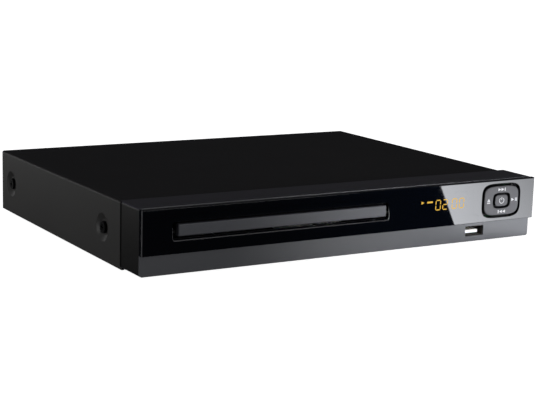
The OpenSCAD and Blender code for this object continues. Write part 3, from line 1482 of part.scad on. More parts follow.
module feed_pinion() {
    color("white") at_cabinet() {
        gear(feed_pinion_at, [feed_wheel_z[0], feed_wheel_z[1]], feed_pinion_teeth, feed_wheel_m,
            feed_dir + 180 + 180 / feed_pinion_teeth);
        post(feed_pinion_at[0], feed_pinion_at[1], [shelf_z[1] - 0.2 + gap, feed_wheel_z[0] + eps],
            feed_shaft_r);
    }
}

base_chassis();
rear_panel();
top_cover();
case_screws();
feet();
front_fascia();
gloss_panel();
display_window();
display_module();
display_digits();
front_board();
tact_switches();
ir_receiver();
key_bezel();
port_shell();
port_tongue();
port_board();
main_board();
board_chips();
heatsink();
power_board();
transformer();
capacitors();
line_filter();
fuse();
mains_inlet();
inlet_wires();
video_socket();
av_socket();
phono_jacks();
ribbon_cables();
loader_frame();
clamp_bridge();
loading_motor();
drive_belt();
pivot_bushes();
inner_screws();
disc_tray();
tray_door();
drive_gear();
pulley_gear();
motor_pulley();
cam_slider();
traverse_frame();
spindle_motor();
guide_rods();
feed_motor();
turntable();
clamper();
clamp_magnet();
pickup_body();
feed_rack();
lens_holder();
lens();
feed_gear();
feed_pinion();
power_button();
pad_frame();
key_pad();
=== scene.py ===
# %% [markdown]
# # A disc player with a loading tray, dressed step by step
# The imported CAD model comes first, as a fixed frame in metres. Every piece that this lesson adds is put where
# the frame says, so nothing has to be fitted by eye. The frame keeps its own meshes, and the lesson gives each
# of them a finish or a finer piece that stands for it.

# %% Load the frame
import json
import math
import bmesh
import bpy
import numpy as np
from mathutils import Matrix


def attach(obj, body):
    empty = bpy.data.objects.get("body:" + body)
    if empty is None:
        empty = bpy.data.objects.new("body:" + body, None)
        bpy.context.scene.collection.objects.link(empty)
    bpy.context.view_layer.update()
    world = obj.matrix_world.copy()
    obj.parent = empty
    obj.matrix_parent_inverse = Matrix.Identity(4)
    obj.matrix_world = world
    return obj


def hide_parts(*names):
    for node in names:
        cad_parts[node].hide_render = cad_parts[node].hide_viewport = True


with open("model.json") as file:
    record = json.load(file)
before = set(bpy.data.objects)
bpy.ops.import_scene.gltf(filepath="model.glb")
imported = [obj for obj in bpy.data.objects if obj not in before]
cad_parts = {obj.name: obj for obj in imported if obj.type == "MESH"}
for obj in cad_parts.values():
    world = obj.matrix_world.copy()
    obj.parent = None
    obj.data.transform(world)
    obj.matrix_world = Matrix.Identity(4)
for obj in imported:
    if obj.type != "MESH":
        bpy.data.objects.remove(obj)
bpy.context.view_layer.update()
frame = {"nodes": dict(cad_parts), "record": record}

# %% [markdown]
# ## Cabinet coordinates
# The measurements were taken from the plane of the lower band and from the lower edge of the steel cover, in
# millimetres. One small function turns them into the frame's metres, so that the numbers below can be read
# against the real player.

# %% From cabinet millimetres to frame metres
BAND_PLANE = -105.45
FEET = 3.0


def place(points):
    """Points in cabinet millimetres, any shape ending in 3, moved by the band plane and the feet, in metres."""
    return (np.asarray(points, dtype=float) + [0.0, BAND_PLANE, FEET]) / 1000.0


print("front of the panel in the frame:", place([0, -3.3, 0]).round(4))

# %% [markdown]
# ## Camera
# The viewing angle was worked out from the long edges of the front and the side: about 31 degrees to the left
# of straight ahead and 11 degrees above, with a long lens. Three unit vectors describe it: back points from
# the player to the camera, side and rise are the picture's own axes, turned by the small roll of the picture.
# The camera stands 805 mm away, and a little to the left and higher, because the player isn't in the middle of
# the picture.

# %% Camera
AZIMUTH, ELEVATION, ROLL = (math.radians(angle) for angle in (30.78, 11.21, 1.64))
DISTANCE, TO_THE_LEFT, UPWARDS = 805.3, 46.5, 28.5
LENS, SENSOR = 95.0, 36.0
back = np.array([-math.sin(AZIMUTH) * math.cos(ELEVATION), -math.cos(AZIMUTH) * math.cos(ELEVATION),
                 math.sin(ELEVATION)])
level = np.cross([0, 0, 1], back)
level /= np.linalg.norm(level)
upright = np.cross(back, level)
side = math.cos(ROLL) * level + math.sin(ROLL) * upright
rise = -math.sin(ROLL) * level + math.cos(ROLL) * upright
eye = place(back * DISTANCE - level * TO_THE_LEFT + upright * UPWARDS)

camera = bpy.data.objects.new("camera", bpy.data.cameras.new("camera"))
bpy.context.scene.collection.objects.link(camera)
camera.data.lens, camera.data.sensor_width, camera.data.sensor_fit = LENS, SENSOR, "HORIZONTAL"
camera.data.clip_start, camera.data.clip_end = 0.05, 50.0
pose = np.eye(4)
pose[:3, 0], pose[:3, 1], pose[:3, 2], pose[:3, 3] = side, rise, back, eye
camera.matrix_world = pose.T.tolist()
bpy.context.scene.camera = camera
print("camera at", eye.round(3))

# %% [markdown]
# ## Small helpers for shader nodes
# A finish is a small graph. Written out in full each node takes four lines, so one helper makes a node, fills
# its sockets and joins them. A socket may be given by name or by number.

# %% Shader helper


def add(tree, kind, inputs=None, **settings):
    """A new shader node: inputs maps a socket name or number to a value or to another node's output."""
    node = tree.nodes.new("ShaderNode" + kind)
    for key, value in settings.items():
        setattr(node, key, value)
    for key, value in (inputs or {}).items():
        if isinstance(value, bpy.types.NodeSocket):
            tree.links.new(value, node.inputs[key])
        else:
            node.inputs[key].default_value = value
    return node


def grey(level):
    """An opaque grey of that linear level."""
    return (level, level, level, 1.0)


# %% [markdown]
# ## Studio
# The player stands on a plain pale floor in front of a white background. The photograph was taken with one
# bright card lying low in front of the right end: it is what shines in the glossy panel from the display to
# the keys, and what makes the satin band lighter to the right. An area lamp lies there instead of the card,
# with its left edge along the line that shows in the panel. Everything else is soft and weak. Gloss would
# mirror a white room as a grey veil, so the camera sees a white world and reflections see a dark one.

# %% World
CAMERA_SEES, MATT_SEES, GLOSS_SEES = 1.0, 0.25, 0.040
world = bpy.data.worlds.new("studio")
bpy.context.scene.world = world
world.use_nodes = True
sky = world.node_tree
sky.nodes.clear()
path = add(sky, "LightPath")
soft = add(sky, "Background", {"Color": (0.94, 0.96, 1.0, 1.0), "Strength": MATT_SEES})
dark = add(sky, "Background", {"Color": (0.92, 0.90, 1.0, 1.0), "Strength": GLOSS_SEES})
white = add(sky, "Background", {"Color": (1.0, 1.0, 1.0, 1.0), "Strength": CAMERA_SEES})
seen_in_gloss = add(sky, "MixShader", {0: path.outputs["Is Glossy Ray"], 1: soft.outputs[0],
                                       2: dark.outputs[0]})
seen_directly = add(sky, "MixShader", {0: path.outputs["Is Camera Ray"], 1: seen_in_gloss.outputs[0],
                                       2: white.outputs[0]})
add(sky, "OutputWorld", {"Surface": seen_directly.outputs[0]})
bpy.context.scene.view_settings.view_transform = "Standard"
print("world: soft and dark for the player, white for the camera")

# %% [markdown]
# The card lies face up on the floor, to the right of the front. Its light is strongest along the left edge and
# dies away from there, as the mirrored card does in the photograph. Two boxes at the left light the cover's
# side, one in front lights everything that looks forward, a narrow beam adds a little to the right half of the
# front, and one behind is there for the views of the back.

# %% Lamps


def lamp(name, centre, target, size, power, along=None):
    """A rectangular lamp at centre that shines towards target, both in cabinet millimetres. size is its width
    and height, and along the direction of its width, level unless it is given."""
    centre, target = np.asarray(centre, dtype=float), np.asarray(target, dtype=float)
    shine = (target - centre) / np.linalg.norm(target - centre)
    x_axis = np.cross(shine, [0, 0, 1]) if along is None else np.asarray(along, dtype=float)
    x_axis = x_axis / np.linalg.norm(x_axis)
    data = bpy.data.lights.new(name, "AREA")
    data.shape, data.energy = "RECTANGLE", power
    data.size, data.size_y = size[0] / 1000, size[1] / 1000
    turn = np.eye(4)
    turn[:3, 0], turn[:3, 1], turn[:3, 2] = x_axis, np.cross(-shine, x_axis), -shine
    turn[:3, 3] = place(centre)
    lamp_object = bpy.data.objects.new(name, data)
    lamp_object.matrix_world = turn.T.tolist()
    lamp_object.visible_camera = False
    bpy.context.scene.collection.objects.link(lamp_object)
    return lamp_object


CARD, CARD_SIZE, CARD_EDGE = np.array([320.4, -139.4, -2.0]), (420, 250), (0.5545, -0.832, 0.0)
low_card = lamp("low_card", CARD, CARD + [0, 0, 1], CARD_SIZE, 2.04, along=CARD_EDGE)
lamp("left_box", (-900, 150, 30), (-130, 60, 20), (300, 60), 2.6)
lamp("far_left_box", (-700, 1300, 16), (-130, 80, 16), (600, 34), 1.0)
lamp("front_box", (250, -1100, 260), (0, 0, 20), (900, 500), 4.2)
narrow_box = lamp("narrow_box", (80, -400, 45), (55, 0, 14), (60, 40), 0.064)
lamp("rear_box", (60, 1000, 18), (0, 200, 18), (500, 30), 3.0)
narrow_box.data.spread = math.radians(31)

# Strength = FADE v + (1 - FADE), not below 0, where v runs from 0 to 1 over the card's height.
FADE = 1.6
low_card.data.color = (0.96, 0.98, 1.03)
low_card.data.use_nodes = True
fade = low_card.data.node_tree
across = add(fade, "SeparateXYZ", {0: add(fade, "NewGeometry").outputs["Parametric"]})
level_there = add(fade, "Math", {0: across.outputs["Y"], 1: FADE, 2: 1 - FADE}, operation="MULTIPLY_ADD",
                  use_clamp=True)
fade.links.new(level_there.outputs[0], fade.nodes["Emission"].inputs["Strength"])

# %% [markdown]
# The floor is matt paper with a soft shadow. For the camera it is lifted until it is nearly as white as the
# world behind it, and for reflections it is nearly black.

# %% Floor
floor_mesh = bpy.data.meshes.new("floor")
REACH, PAPER, LIFT, MIRRORED = 6.0, 0.72, 0.97, 0.012
corners = np.array([[-1, -1, 0], [1, -1, 0], [1, 1, 0], [-1, 1, 0]]) * REACH
floor_mesh.from_pydata(corners, [], [(0, 1, 2, 3)])
floor = bpy.data.objects.new("floor", floor_mesh)
bpy.context.scene.collection.objects.link(floor)
paper = bpy.data.materials.new("pale_floor")
paper.use_nodes = True
tree = paper.node_tree
tree.nodes.clear()
path = add(tree, "LightPath")
matt = add(tree, "BsdfDiffuse", {"Color": grey(PAPER)})
lift = add(tree, "Emission", {"Color": grey(1.0), "Strength": LIFT})
seen = add(tree, "AddShader", {0: matt.outputs[0], 1: lift.outputs[0]})
shaded = add(tree, "MixShader", {0: path.outputs["Is Camera Ray"], 1: matt.outputs[0], 2: seen.outputs[0]})
black = add(tree, "Emission", {"Color": grey(MIRRORED), "Strength": 1.0})
surface = add(tree, "MixShader", {0: path.outputs["Is Glossy Ray"], 1: shaded.outputs[0],
                                  2: black.outputs[0]})
add(tree, "OutputMaterial", {"Surface": surface.outputs[0]})
floor_mesh.materials.append(paper)
print("floor reaches", REACH, "m each way")

# %% [markdown]
# ## Finishes
# Moulded plastic, painted steel and plated metal all have the same three things: a colour that varies a
# little, a gloss that varies a little and a fine relief. One node group gives all three from the place on the
# piece, and each material sets its own scale and strength. With the fine noise f and the broad noise b, both
# round a half, the swing is f + b - 1. The colour is multiplied by 1 + Shade swing, the gloss is
# Gloss + Gloss change swing, and the relief is f.

# %% Grain group


def new_group(name, inputs, outputs):
    """A shader node group with those sockets, given as (name, type, default)."""
    group = bpy.data.node_groups.new(name, "ShaderNodeTree")
    for label, kind, default in inputs:
        socket = group.interface.new_socket(label, in_out="INPUT", socket_type="NodeSocket" + kind)
        socket.default_value = default
    for label, kind in outputs:
        group.interface.new_socket(label, in_out="OUTPUT", socket_type="NodeSocket" + kind)
    return group


BROAD_SCALE = 22.0
grain = new_group("fine_grain",
                  [("Colour", "Color", grey(0.5)), ("Shade", "Float", 0.1), ("Scale", "Float", 900.0),
                   ("Gloss", "Float", 0.4), ("Gloss change", "Float", 0.1),
                   ("Stretch", "Vector", (1.0, 1.0, 1.0))],
                  [("Colour", "Color"), ("Roughness", "Float"), ("Height", "Float")])
given = grain.nodes.new("NodeGroupInput")
spot = add(grain, "TexCoord")
stretched = add(grain, "VectorMath", {0: spot.outputs["Object"], 1: given.outputs["Stretch"]},
                operation="MULTIPLY")
fine = add(grain, "TexNoise", {"Vector": stretched.outputs[0], "Scale": given.outputs["Scale"], "Detail": 3.0})
broad = add(grain, "TexNoise", {"Vector": spot.outputs["Object"], "Scale": BROAD_SCALE, "Detail": 4.0})
both = add(grain, "Math", {0: fine.outputs["Fac"], 1: broad.outputs["Fac"]}, operation="ADD")
swing = add(grain, "Math", {0: both.outputs[0], 1: 1.0}, operation="SUBTRACT")
value = add(grain, "Math", {0: swing.outputs[0], 1: given.outputs["Shade"], 2: 1.0},
            operation="MULTIPLY_ADD")
tone = add(grain, "HueSaturation", {"Value": value.outputs[0], "Color": given.outputs["Colour"]})
roughness = add(grain, "Math", {0: swing.outputs[0], 1: given.outputs["Gloss change"],
                                2: given.outputs["Gloss"]}, operation="MULTIPLY_ADD", use_clamp=True)
leaving = grain.nodes.new("NodeGroupOutput")
grain.links.new(tone.outputs["Color"], leaving.inputs["Colour"])
grain.links.new(roughness.outputs[0], leaving.inputs["Roughness"])
grain.links.new(fine.outputs["Fac"], leaving.inputs["Height"])
print("group:", grain.name)


# %% Material helper


def finish(name, colour, gloss, shade=0.12, gloss_change=0.08, scale=900.0, stretch=(1.0, 1.0, 1.0),
           relief=0.00002, depth=0.25, **plain):
    """A material: the grain group feeds colour, roughness and a bump of that relief in metres. plain holds
    constants for the shader's own sockets, with _ for a space."""
    made = bpy.data.materials.new(name)
    made.use_nodes = True
    tree = made.node_tree
    tree.nodes.clear()
    surface = add(tree, "BsdfPrincipled")
    pattern = tree.nodes.new("ShaderNodeGroup")
    pattern.node_tree = grain
    for key, number in (("Colour", (*colour, 1.0)), ("Shade", shade), ("Scale", scale), ("Gloss", gloss),
                        ("Gloss change", gloss_change), ("Stretch", stretch)):
        pattern.inputs[key].default_value = number
    tree.links.new(pattern.outputs["Colour"], surface.inputs["Base Color"])
    tree.links.new(pattern.outputs["Roughness"], surface.inputs["Roughness"])
    bump = add(tree, "Bump", {"Strength": depth, "Distance": relief, "Height": pattern.outputs["Height"]})
    tree.links.new(bump.outputs[0], surface.inputs["Normal"])
    for key, number in plain.items():
        surface.inputs[key.replace("_", " ")].default_value = number
    add(tree, "OutputMaterial", {"Surface": surface.outputs[0]})
    return made


# %% [markdown]
# Each slot of the record gets one finish. The colours are linear values, and the number after them is the
# roughness. Black paint and moulded black plastic mirror less than polished plastic does, which a lower
# refractive index brings about. The grain of rolled and turned metal is stretched along the way it was worked.

# %% Materials of the record's slots
slots = {
    "cover_paint": finish("cover_paint", (0.0205, 0.0200, 0.0195), 0.46, scale=1500, relief=0.00003,
                          IOR=1.25),
    "front_plastic": finish("front_plastic", (0.025, 0.024, 0.031), 0.32, scale=1700, relief=0.00001,
                            IOR=1.6),
    "door_plastic": finish("door_plastic", (0.048, 0.050, 0.058), 0.42, scale=1700, relief=0.00001),
    # The keys are black except for their painted faces, and the black sides are partly painted shade for the
    # gaps round them.
    "key_plastic": finish("key_plastic", (0.002, 0.002, 0.003), 0.6, scale=1700, relief=0.00001, IOR=1.3),
    "gloss_panel": finish("gloss_panel", (0.0002, 0.0006, 0.0016), 0.03, shade=0.0, gloss_change=0.01,
                          scale=40, relief=0.000002, depth=0.02, IOR=1.75),
    "black_gloss": finish("black_gloss", (0.003, 0.003, 0.004), 0.35, gloss_change=0.02, scale=300,
                          depth=0.05, IOR=1.15),
    "black_plastic": finish("black_plastic", (0.014, 0.014, 0.015), 0.5, scale=2200),
    "tray_plastic": finish("tray_plastic", (0.022, 0.022, 0.023), 0.45, scale=2600, relief=0.00004, depth=0.4),
    "rubber": finish("rubber", (0.016, 0.016, 0.016), 0.75, scale=1400, relief=0.00005, depth=0.4),
    "zinc_steel": finish("zinc_steel", (0.62, 0.63, 0.64), 0.34, scale=500, stretch=(1.0, 0.06, 1.0),
                         relief=0.00001, Metallic=1.0),
    "black_screws": finish("black_screws", (0.03, 0.03, 0.032), 0.30, scale=900, Metallic=1.0),
    "bright_metal": finish("bright_metal", (0.74, 0.74, 0.76), 0.18, scale=900, depth=0.1, Metallic=1.0),
    "motor_steel": finish("motor_steel", (0.66, 0.66, 0.67), 0.28, scale=700, stretch=(1.0, 1.0, 0.08),
                          Metallic=1.0),
    "heatsink_metal": finish("heatsink_metal", (0.72, 0.72, 0.74), 0.35, scale=700, stretch=(1.0, 0.05, 1.0),
                             Metallic=1.0),
    "pickup_metal": finish("pickup_metal", (0.42, 0.43, 0.45), 0.42, scale=1400, Metallic=1.0),
    "drive_unit_metal": finish("drive_unit_metal", (0.24, 0.24, 0.25), 0.42, scale=1400),
    "circuit_board": finish("circuit_board", (0.018, 0.13, 0.05), 0.28, scale=500, shade=0.3),
    "brown_board": finish("brown_board", (0.33, 0.21, 0.10), 0.55, scale=900, shade=0.25),
    "white_plastic": finish("white_plastic", (0.82, 0.82, 0.80), 0.38, scale=1800, shade=0.04,
                            Subsurface_Weight=0.05, Subsurface_Scale=0.001),
    "cream_plastic": finish("cream_plastic", (0.76, 0.72, 0.62), 0.40, scale=1800, shade=0.05),
    "dark_ferrite": finish("dark_ferrite", (0.045, 0.045, 0.05), 0.6, scale=2600, relief=0.00006, depth=0.5),
    "blue_sleeve": finish("blue_sleeve", (0.03, 0.04, 0.17), 0.22, scale=900),
    "yellow_plastic": finish("yellow_plastic", (0.55, 0.40, 0.06), 0.32, scale=900),
    "wire_sleeve": finish("wire_sleeve", (0.22, 0.09, 0.035), 0.4, scale=1200),
    "jack_plastic": finish("jack_plastic", (0.42, 0.03, 0.02), 0.25, scale=1200),
    "cable_film": finish("cable_film", (0.72, 0.72, 0.74), 0.25, scale=900),
    "lens_glass": finish("lens_glass", (0.30, 0.38, 0.70), 0.03, shade=0.0, gloss_change=0.0, scale=200,
                         relief=0.000001, depth=0.0, Transmission_Weight=0.9, IOR=1.6),
    "smoked_window": finish("smoked_window", (0.0002, 0.0006, 0.0016), 0.03, shade=0.0, gloss_change=0.01,
                            scale=40, relief=0.000002, depth=0.02, IOR=1.75),
    "amber_light": finish("amber_light", (0.02, 0.01, 0.0), 0.6, shade=0.0, Specular_IOR_Level=0.0,
                          Emission_Color=(0.82, 0.50, 0.08, 1.0), Emission_Strength=1.0),
}
slot_of = {part["node"]: part["material_slot"] for part in frame["record"]["subparts"]}
for node_name, node_object in frame["nodes"].items():
    node_object.data.materials.clear()
    node_object.data.materials.append(slots[slot_of[node_name]])
print("finished", len(slot_of), "nodes with", len(set(slot_of.values())), "materials")

# %% [markdown]
# The moulded front and the keys are black plastic, and only the faces that look forward are sprayed with a fine
# grey paint. The mask is a plane: paint in front of it, bare plastic behind. The black sides of the keys also
# stand in for the shade in the gaps round them, so those gaps are partly painted shade. The ends of the front
# are painted darker than its top, as painted shade, and their last two millimetres nearly black, as a painted
# shadow of the seam. A hairline at both ends of the panel's front edge is painted lighter and satin, a painted
# highlight.
# Each mask mixes over the ones before it, so the paint comes last.

# %% Painted faces


def masked(name, axis, limit, colour, gloss, index=None, between=None):
    """Another colour and gloss on a part of the slot's material, and another refractive index if one is given.
    With the axis "Y" that part is Y < limit. With "X" it is |X| > limit and, if between is given, only where Y
    lies between those two. All in cabinet millimetres."""
    tree = slots[name].node_tree
    shader = next(node for node in tree.nodes if node.type == "BSDF_PRINCIPLED")
    spot = add(tree, "SeparateXYZ", {0: add(tree, "TexCoord").outputs["Object"]})
    if axis == "Y":
        inside = add(tree, "Math", {0: spot.outputs["Y"], 1: place([0.0, limit, 0.0])[1]},
                     operation="LESS_THAN")
    else:
        outwards = add(tree, "Math", {0: spot.outputs["X"]}, operation="ABSOLUTE")
        inside = add(tree, "Math", {0: outwards.outputs[0], 1: limit / 1000}, operation="GREATER_THAN")
        if between is not None:
            near, far = (place([0.0, y, 0.0])[1] for y in between)
            strip = add(tree, "Math", {0: spot.outputs["Y"], 1: (near + far) / 2, 2: (far - near) / 2},
                        operation="COMPARE")
            inside = add(tree, "Math", {0: inside.outputs[0], 1: strip.outputs[0]}, operation="MULTIPLY")
    for key, new in (("Base Color", (*colour, 1.0)), ("Roughness", gloss), ("IOR", index)):
        if new is None:
            continue
        socket = shader.inputs[key]
        old = socket.links[0].from_socket if socket.links else socket.default_value
        if key == "Base Color":
            mix = add(tree, "Mix", {0: inside.outputs[0], 6: old, 7: new}, data_type="RGBA")
            tree.links.new(mix.outputs[2], socket)
        else:
            mix = add(tree, "Mix", {0: inside.outputs[0], 2: old, 3: new})
            tree.links.new(mix.outputs[0], socket)
    print(f"{name}: another finish beyond {axis} {limit}")


FRONT_END = 131.75
SEAM_SHADOW, PANEL_EDGE_HIGHLIGHT = (22.5, 24.6), (-3.4, -2.8)
BAND_PAINT_TO, KEY_FACE, KEY_PAINT = 1.0, -3.9, 0.4
# Painted shade: the ends of the front are painted darker than its top, with a little less gloss and a lower
# refractive index.
masked("front_plastic", "X", FRONT_END - 0.6, (0.006, 0.006, 0.006), 0.4, 1.22)
# Painted shadow: the last two millimetres of the ends, at the seam to the cover, are painted nearly black.
masked("front_plastic", "X", FRONT_END - 0.95, (0.001, 0.001, 0.001), 0.7, 1.1, between=SEAM_SHADOW)
# Painted highlight: a hairline along the panel's front edge at both ends is painted lighter and satin.
masked("gloss_panel", "X", FRONT_END - 0.45, (0.028, 0.028, 0.031), 0.4, between=PANEL_EDGE_HIGHLIGHT)
masked("front_plastic", "Y", BAND_PAINT_TO, (0.044, 0.046, 0.053), 0.42, 1.6)
# Grey paint on the keys' faces. The black sides behind it are partly painted shade for the gaps round the keys.
masked("key_plastic", "Y", KEY_FACE + KEY_PAINT, (0.064, 0.064, 0.069), 0.55)

# %% [markdown]
# ## From a formula to a mesh
# A new piece starts as a grid of points: one parameter runs along the rows, the other along the columns, and
# the grid closes where the shape does. Several grids can make one piece. Their seams and poles are merged, and
# the faces are turned outwards, before the piece gets its finish and the body that it rides on.

# %% Mesh helpers
MERGE = 1e-7


def patch(points, rows_closed=False):
    """A grid of points, shape (rows, columns, 3), as points and quads. The quad of the place (i, j) joins the
    points (i, j), (i, j+1), (i+1, j+1) and (i+1, j). The last column joins the first, and so do the rows if
    they are closed."""
    rows, columns = points.shape[:2]
    index = np.arange(rows * columns).reshape(rows, columns)
    if rows_closed:
        index = np.vstack([index, index[:1]])
    index = np.hstack([index, index[:, :1]])
    quads = np.stack([index[:-1, :-1], index[:-1, 1:], index[1:, 1:], index[1:, :-1]], axis=-1)
    return points.reshape(-1, 3), quads.reshape(-1, 4)


def piece(name, patches, slot_name, body="root", stands_for=(), sharp=32.0, material=None):
    """One object out of patches in cabinet millimetres: merged, closed, faces outwards, smooth up to the sharp
    angle. It takes the finish of the record's slot, rides on the body and stands for CAD nodes."""
    starts = np.cumsum([0] + [len(points) for points, _ in patches[:-1]])
    points = np.vstack([points for points, _ in patches])
    quads = np.vstack([quads + start for (_, quads), start in zip(patches, starts)])
    mesh = bpy.data.meshes.new(name)
    mesh.from_pydata(place(points), [], quads)
    work = bmesh.new()
    work.from_mesh(mesh)
    bmesh.ops.remove_doubles(work, verts=work.verts, dist=MERGE)
    bmesh.ops.dissolve_degenerate(work, edges=work.edges, dist=MERGE)
    bmesh.ops.recalc_face_normals(work, faces=work.faces)
    work.to_mesh(mesh)
    work.free()
    return show(name, mesh, slot_name, body, stands_for, sharp, material)


def show(name, mesh, slot_name, body, stands_for, sharp, material=None):
    """The mesh as an object: smooth up to the sharp angle, with its finish, its body and the nodes that it
    stands for."""
    mesh.shade_smooth()
    mesh.set_sharp_from_angle(angle=math.radians(sharp))
    mesh.materials.clear()
    mesh.materials.append(material or slots[slot_name])
    made = bpy.data.objects.new(name, mesh)
    bpy.context.scene.collection.objects.link(made)
    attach(made, body)
    if stands_for:
        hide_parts(*stands_for)
    print(f"{name}: {len(mesh.vertices)} points, {len(mesh.polygons)} faces")
    return made


def turned(profile, centre, steps=24):
    """A lathe along Y: each (radius r, depth d) of the profile becomes the ring (r cos a, d, r sin a) round
    the centre."""
    radius, depth = np.asarray(profile, dtype=float).T
    angle = np.linspace(0, 2 * np.pi, steps, endpoint=False)
    across, up = np.outer(radius, np.cos(angle)), np.outer(radius, np.sin(angle))
    grid = np.stack([across, np.repeat(depth[:, None], steps, axis=1), up], axis=-1)
    return patch(grid + np.asarray(centre, dtype=float))


def rod(radius, front, rear):
    """The profile of a plain round rod between two depths."""
    return [(0, front), (radius, front), (radius, rear), (0, rear)]


def loop(half_x, half_z, power, count=96):
    """A superellipse |x/a|^n + |z/b|^n = 1 as count points in X and Z: the higher n, the squarer."""
    angle = np.linspace(0, 2 * np.pi, count, endpoint=False)
    c, s = np.cos(angle), np.sin(angle)
    return np.stack([half_x * np.sign(c) * np.abs(c) ** (2 / power),
                     half_z * np.sign(s) * np.abs(s) ** (2 / power)], axis=-1)


def rounded_loop(half_x, half_z, radius, steps=8):
    """A rectangle with round corners: a quarter circle of steps points round each corner's own centre, which
    lies one radius inside both sides. Straight sides join the four."""
    angle = np.radians(np.linspace(0, 90, steps) + 90 * np.arange(4)[:, None])
    signs = np.array([[1, 1], [-1, 1], [-1, -1], [1, -1]])[:, None, :]
    corner = signs * (np.array([half_x, half_z]) - radius)
    return (corner + radius * np.stack([np.cos(angle), np.sin(angle)], axis=-1)).reshape(-1, 2)


def rings(loops, depths, centre, rows_closed=False):
    """A tube round centre (X, Y, Z): row i is loop i in X and Z, at depth i in Y."""
    grid = np.stack([np.column_stack([ring[:, 0], np.broadcast_to(depth, len(ring)), ring[:, 1]])
                     for ring, depth in zip(loops, depths)])
    return patch(grid + np.asarray(centre, dtype=float), rows_closed=rows_closed)


def tile(outline, front, rear, centre, edge=0.04):
    """A flat mark: a convex outline in X and Z between two depths in Y. Its face is the outline shrunk towards
    its middle, so that the front edge is cut back a little."""
    outline = np.asarray(outline, dtype=float)
    middle = np.repeat(outline.mean(axis=0)[None], len(outline), axis=0)
    away = outline - middle
    inner = middle + away * (1 - edge / np.linalg.norm(away, axis=1).min())
    return rings([middle, inner, outline, outline, middle], [front, front, front + edge, rear, rear],
                 (centre[0], 0.0, centre[1]))


def band(inner, outer, turn, front, rear, centre):
    """A flat arc: the rectangle between two radii and two depths in Y, carried round the centre over the
    angles turn = (from, to) in degrees, with both ends drawn together to their middle."""
    angle = np.radians(np.linspace(*turn, 40))
    radius = np.array([inner, outer, outer, inner])
    depth = np.broadcast_to(np.array([front, front, rear, rear]), (len(angle), 4))
    section = np.stack([np.outer(np.cos(angle), radius), depth, np.outer(np.sin(angle), radius)], axis=-1)
    ends = [np.repeat(section[k].mean(axis=0)[None], 4, axis=0) for k in (0, -1)]
    grid = np.concatenate([ends[:1], section, ends[1:]])
    return patch(grid + np.array([centre[0], 0.0, centre[1]]))


def block(low, high, bevel=0.3):
    """A box between two corners, every edge cut back by bevel. Its sections in X and Y are rectangles without
    corners, and the first and the last section shrink by the bevel before they close."""
    low, high = np.asarray(low, dtype=float), np.asarray(high, dtype=float)
    half = (high - low) / 2
    a, b = half[0], half[1]
    full = np.array([[-a + bevel, -b], [a - bevel, -b], [a, -b + bevel], [a, b - bevel], [a - bevel, b],
                     [-a + bevel, b], [-a, b - bevel], [-a, -b + bevel]])
    small = np.sign(full) * (half[:2] - bevel)
    heights = [-half[2], -half[2], -half[2] + bevel, half[2] - bevel, half[2], half[2]]
    levels = [small * 0, small, full, full, small, small * 0]
    grid = np.stack([np.column_stack([ring, np.full(8, height)]) for ring, height in zip(levels, heights)])
    return patch(grid + (low + high) / 2)


print("mesh helpers ready")

# %% [markdown]
# ## Softened edges
# Moulded and folded parts never end in a knife edge, and it is the small radius that catches the light: the
# bright line along the panel's top edge is nothing else. The CAD solids of the outer parts keep their shape. A
# copy of each has its triangles joined, its flat faces made whole and a bevel put on its edges. The edges round
# the display window stay plain, because pane and panel meet there without a gap. The cover keeps the CAD
# node's own mesh, which shades its side dimples best.

# %% Softened copies
JOIN, FLAT, CREASE = 2e-6, 0.5, 28.0


def softened(node, radius, plain=None, segments=2):
    """A copy of a CAD node with a rounded edge of that radius, in millimetres, wherever two faces meet at more
    than the crease angle, but not inside the plain box (two corners in cabinet millimetres). It stands for the
    node and rides on its body."""
    mesh = frame["nodes"][node].data.copy()
    mesh.name = node + "_soft"
    work = bmesh.new()
    work.from_mesh(mesh)
    bmesh.ops.remove_doubles(work, verts=work.verts, dist=JOIN)
    bmesh.ops.dissolve_limit(work, angle_limit=math.radians(FLAT), verts=work.verts, edges=work.edges)
    work.to_mesh(mesh)
    work.free()
    made = show(node + "_soft", mesh, slot_of[node], body_of[node], [node], CREASE)
    ends = np.empty(2 * len(mesh.edges), dtype=np.int32)
    mesh.edges.foreach_get("vertices", ends)
    corners = np.empty(3 * len(mesh.vertices))
    mesh.vertices.foreach_get("co", corners)
    middles = corners.reshape(-1, 3)[ends.reshape(-1, 2)].mean(axis=1)
    rounded = np.zeros(len(mesh.edges), dtype=bool)
    mesh.attributes["sharp_edge"].data.foreach_get("value", rounded)
    if plain is not None:
        rounded &= ~np.all((middles > place(plain[0])) & (middles < place(plain[1])), axis=1)
    weight = mesh.attributes.new("bevel_weight_edge", "FLOAT", "EDGE")
    weight.data.foreach_set("value", rounded.astype(np.float32))
    bevel = made.modifiers.new("round_edges", "BEVEL")
    bevel.width, bevel.segments, bevel.limit_method = radius / 1000, segments, "WEIGHT"
    bevel.harden_normals = True
    return made


body_of = {node: body for body, nodes in frame["record"]["behaviour"]["bodies"].items() for node in nodes}
WINDOW_LOW, WINDOW_HIGH = np.array([43.0, -3.3, 19.0]), np.array([85.0, -0.9, 33.0])
around_window = [WINDOW_LOW - 0.6, WINDOW_HIGH + [0.6, 3.0, 0.6]]
panel = softened("gloss_panel", 0.3, plain=around_window)
softened("front_fascia", 0.35, segments=1)
for node, radius in (("tray_door", 0.2), ("disc_tray", 0.2), ("rear_panel", 0.1),
                     ("case_screws", 0.3), ("feet", 0.5), ("mains_inlet", 0.2), ("av_socket", 0.12),
                     ("video_socket", 0.1)):
    softened(node, radius)

# %% [markdown]
# Two fine lines run along the top of the front: the ledge's front edge, and the panel's own bevel in front of
# it. The ledge must stand a little above the panel for that, so the panel's copy loses a third of a millimetre
# at the top. Both values below are in metres, like the mesh.

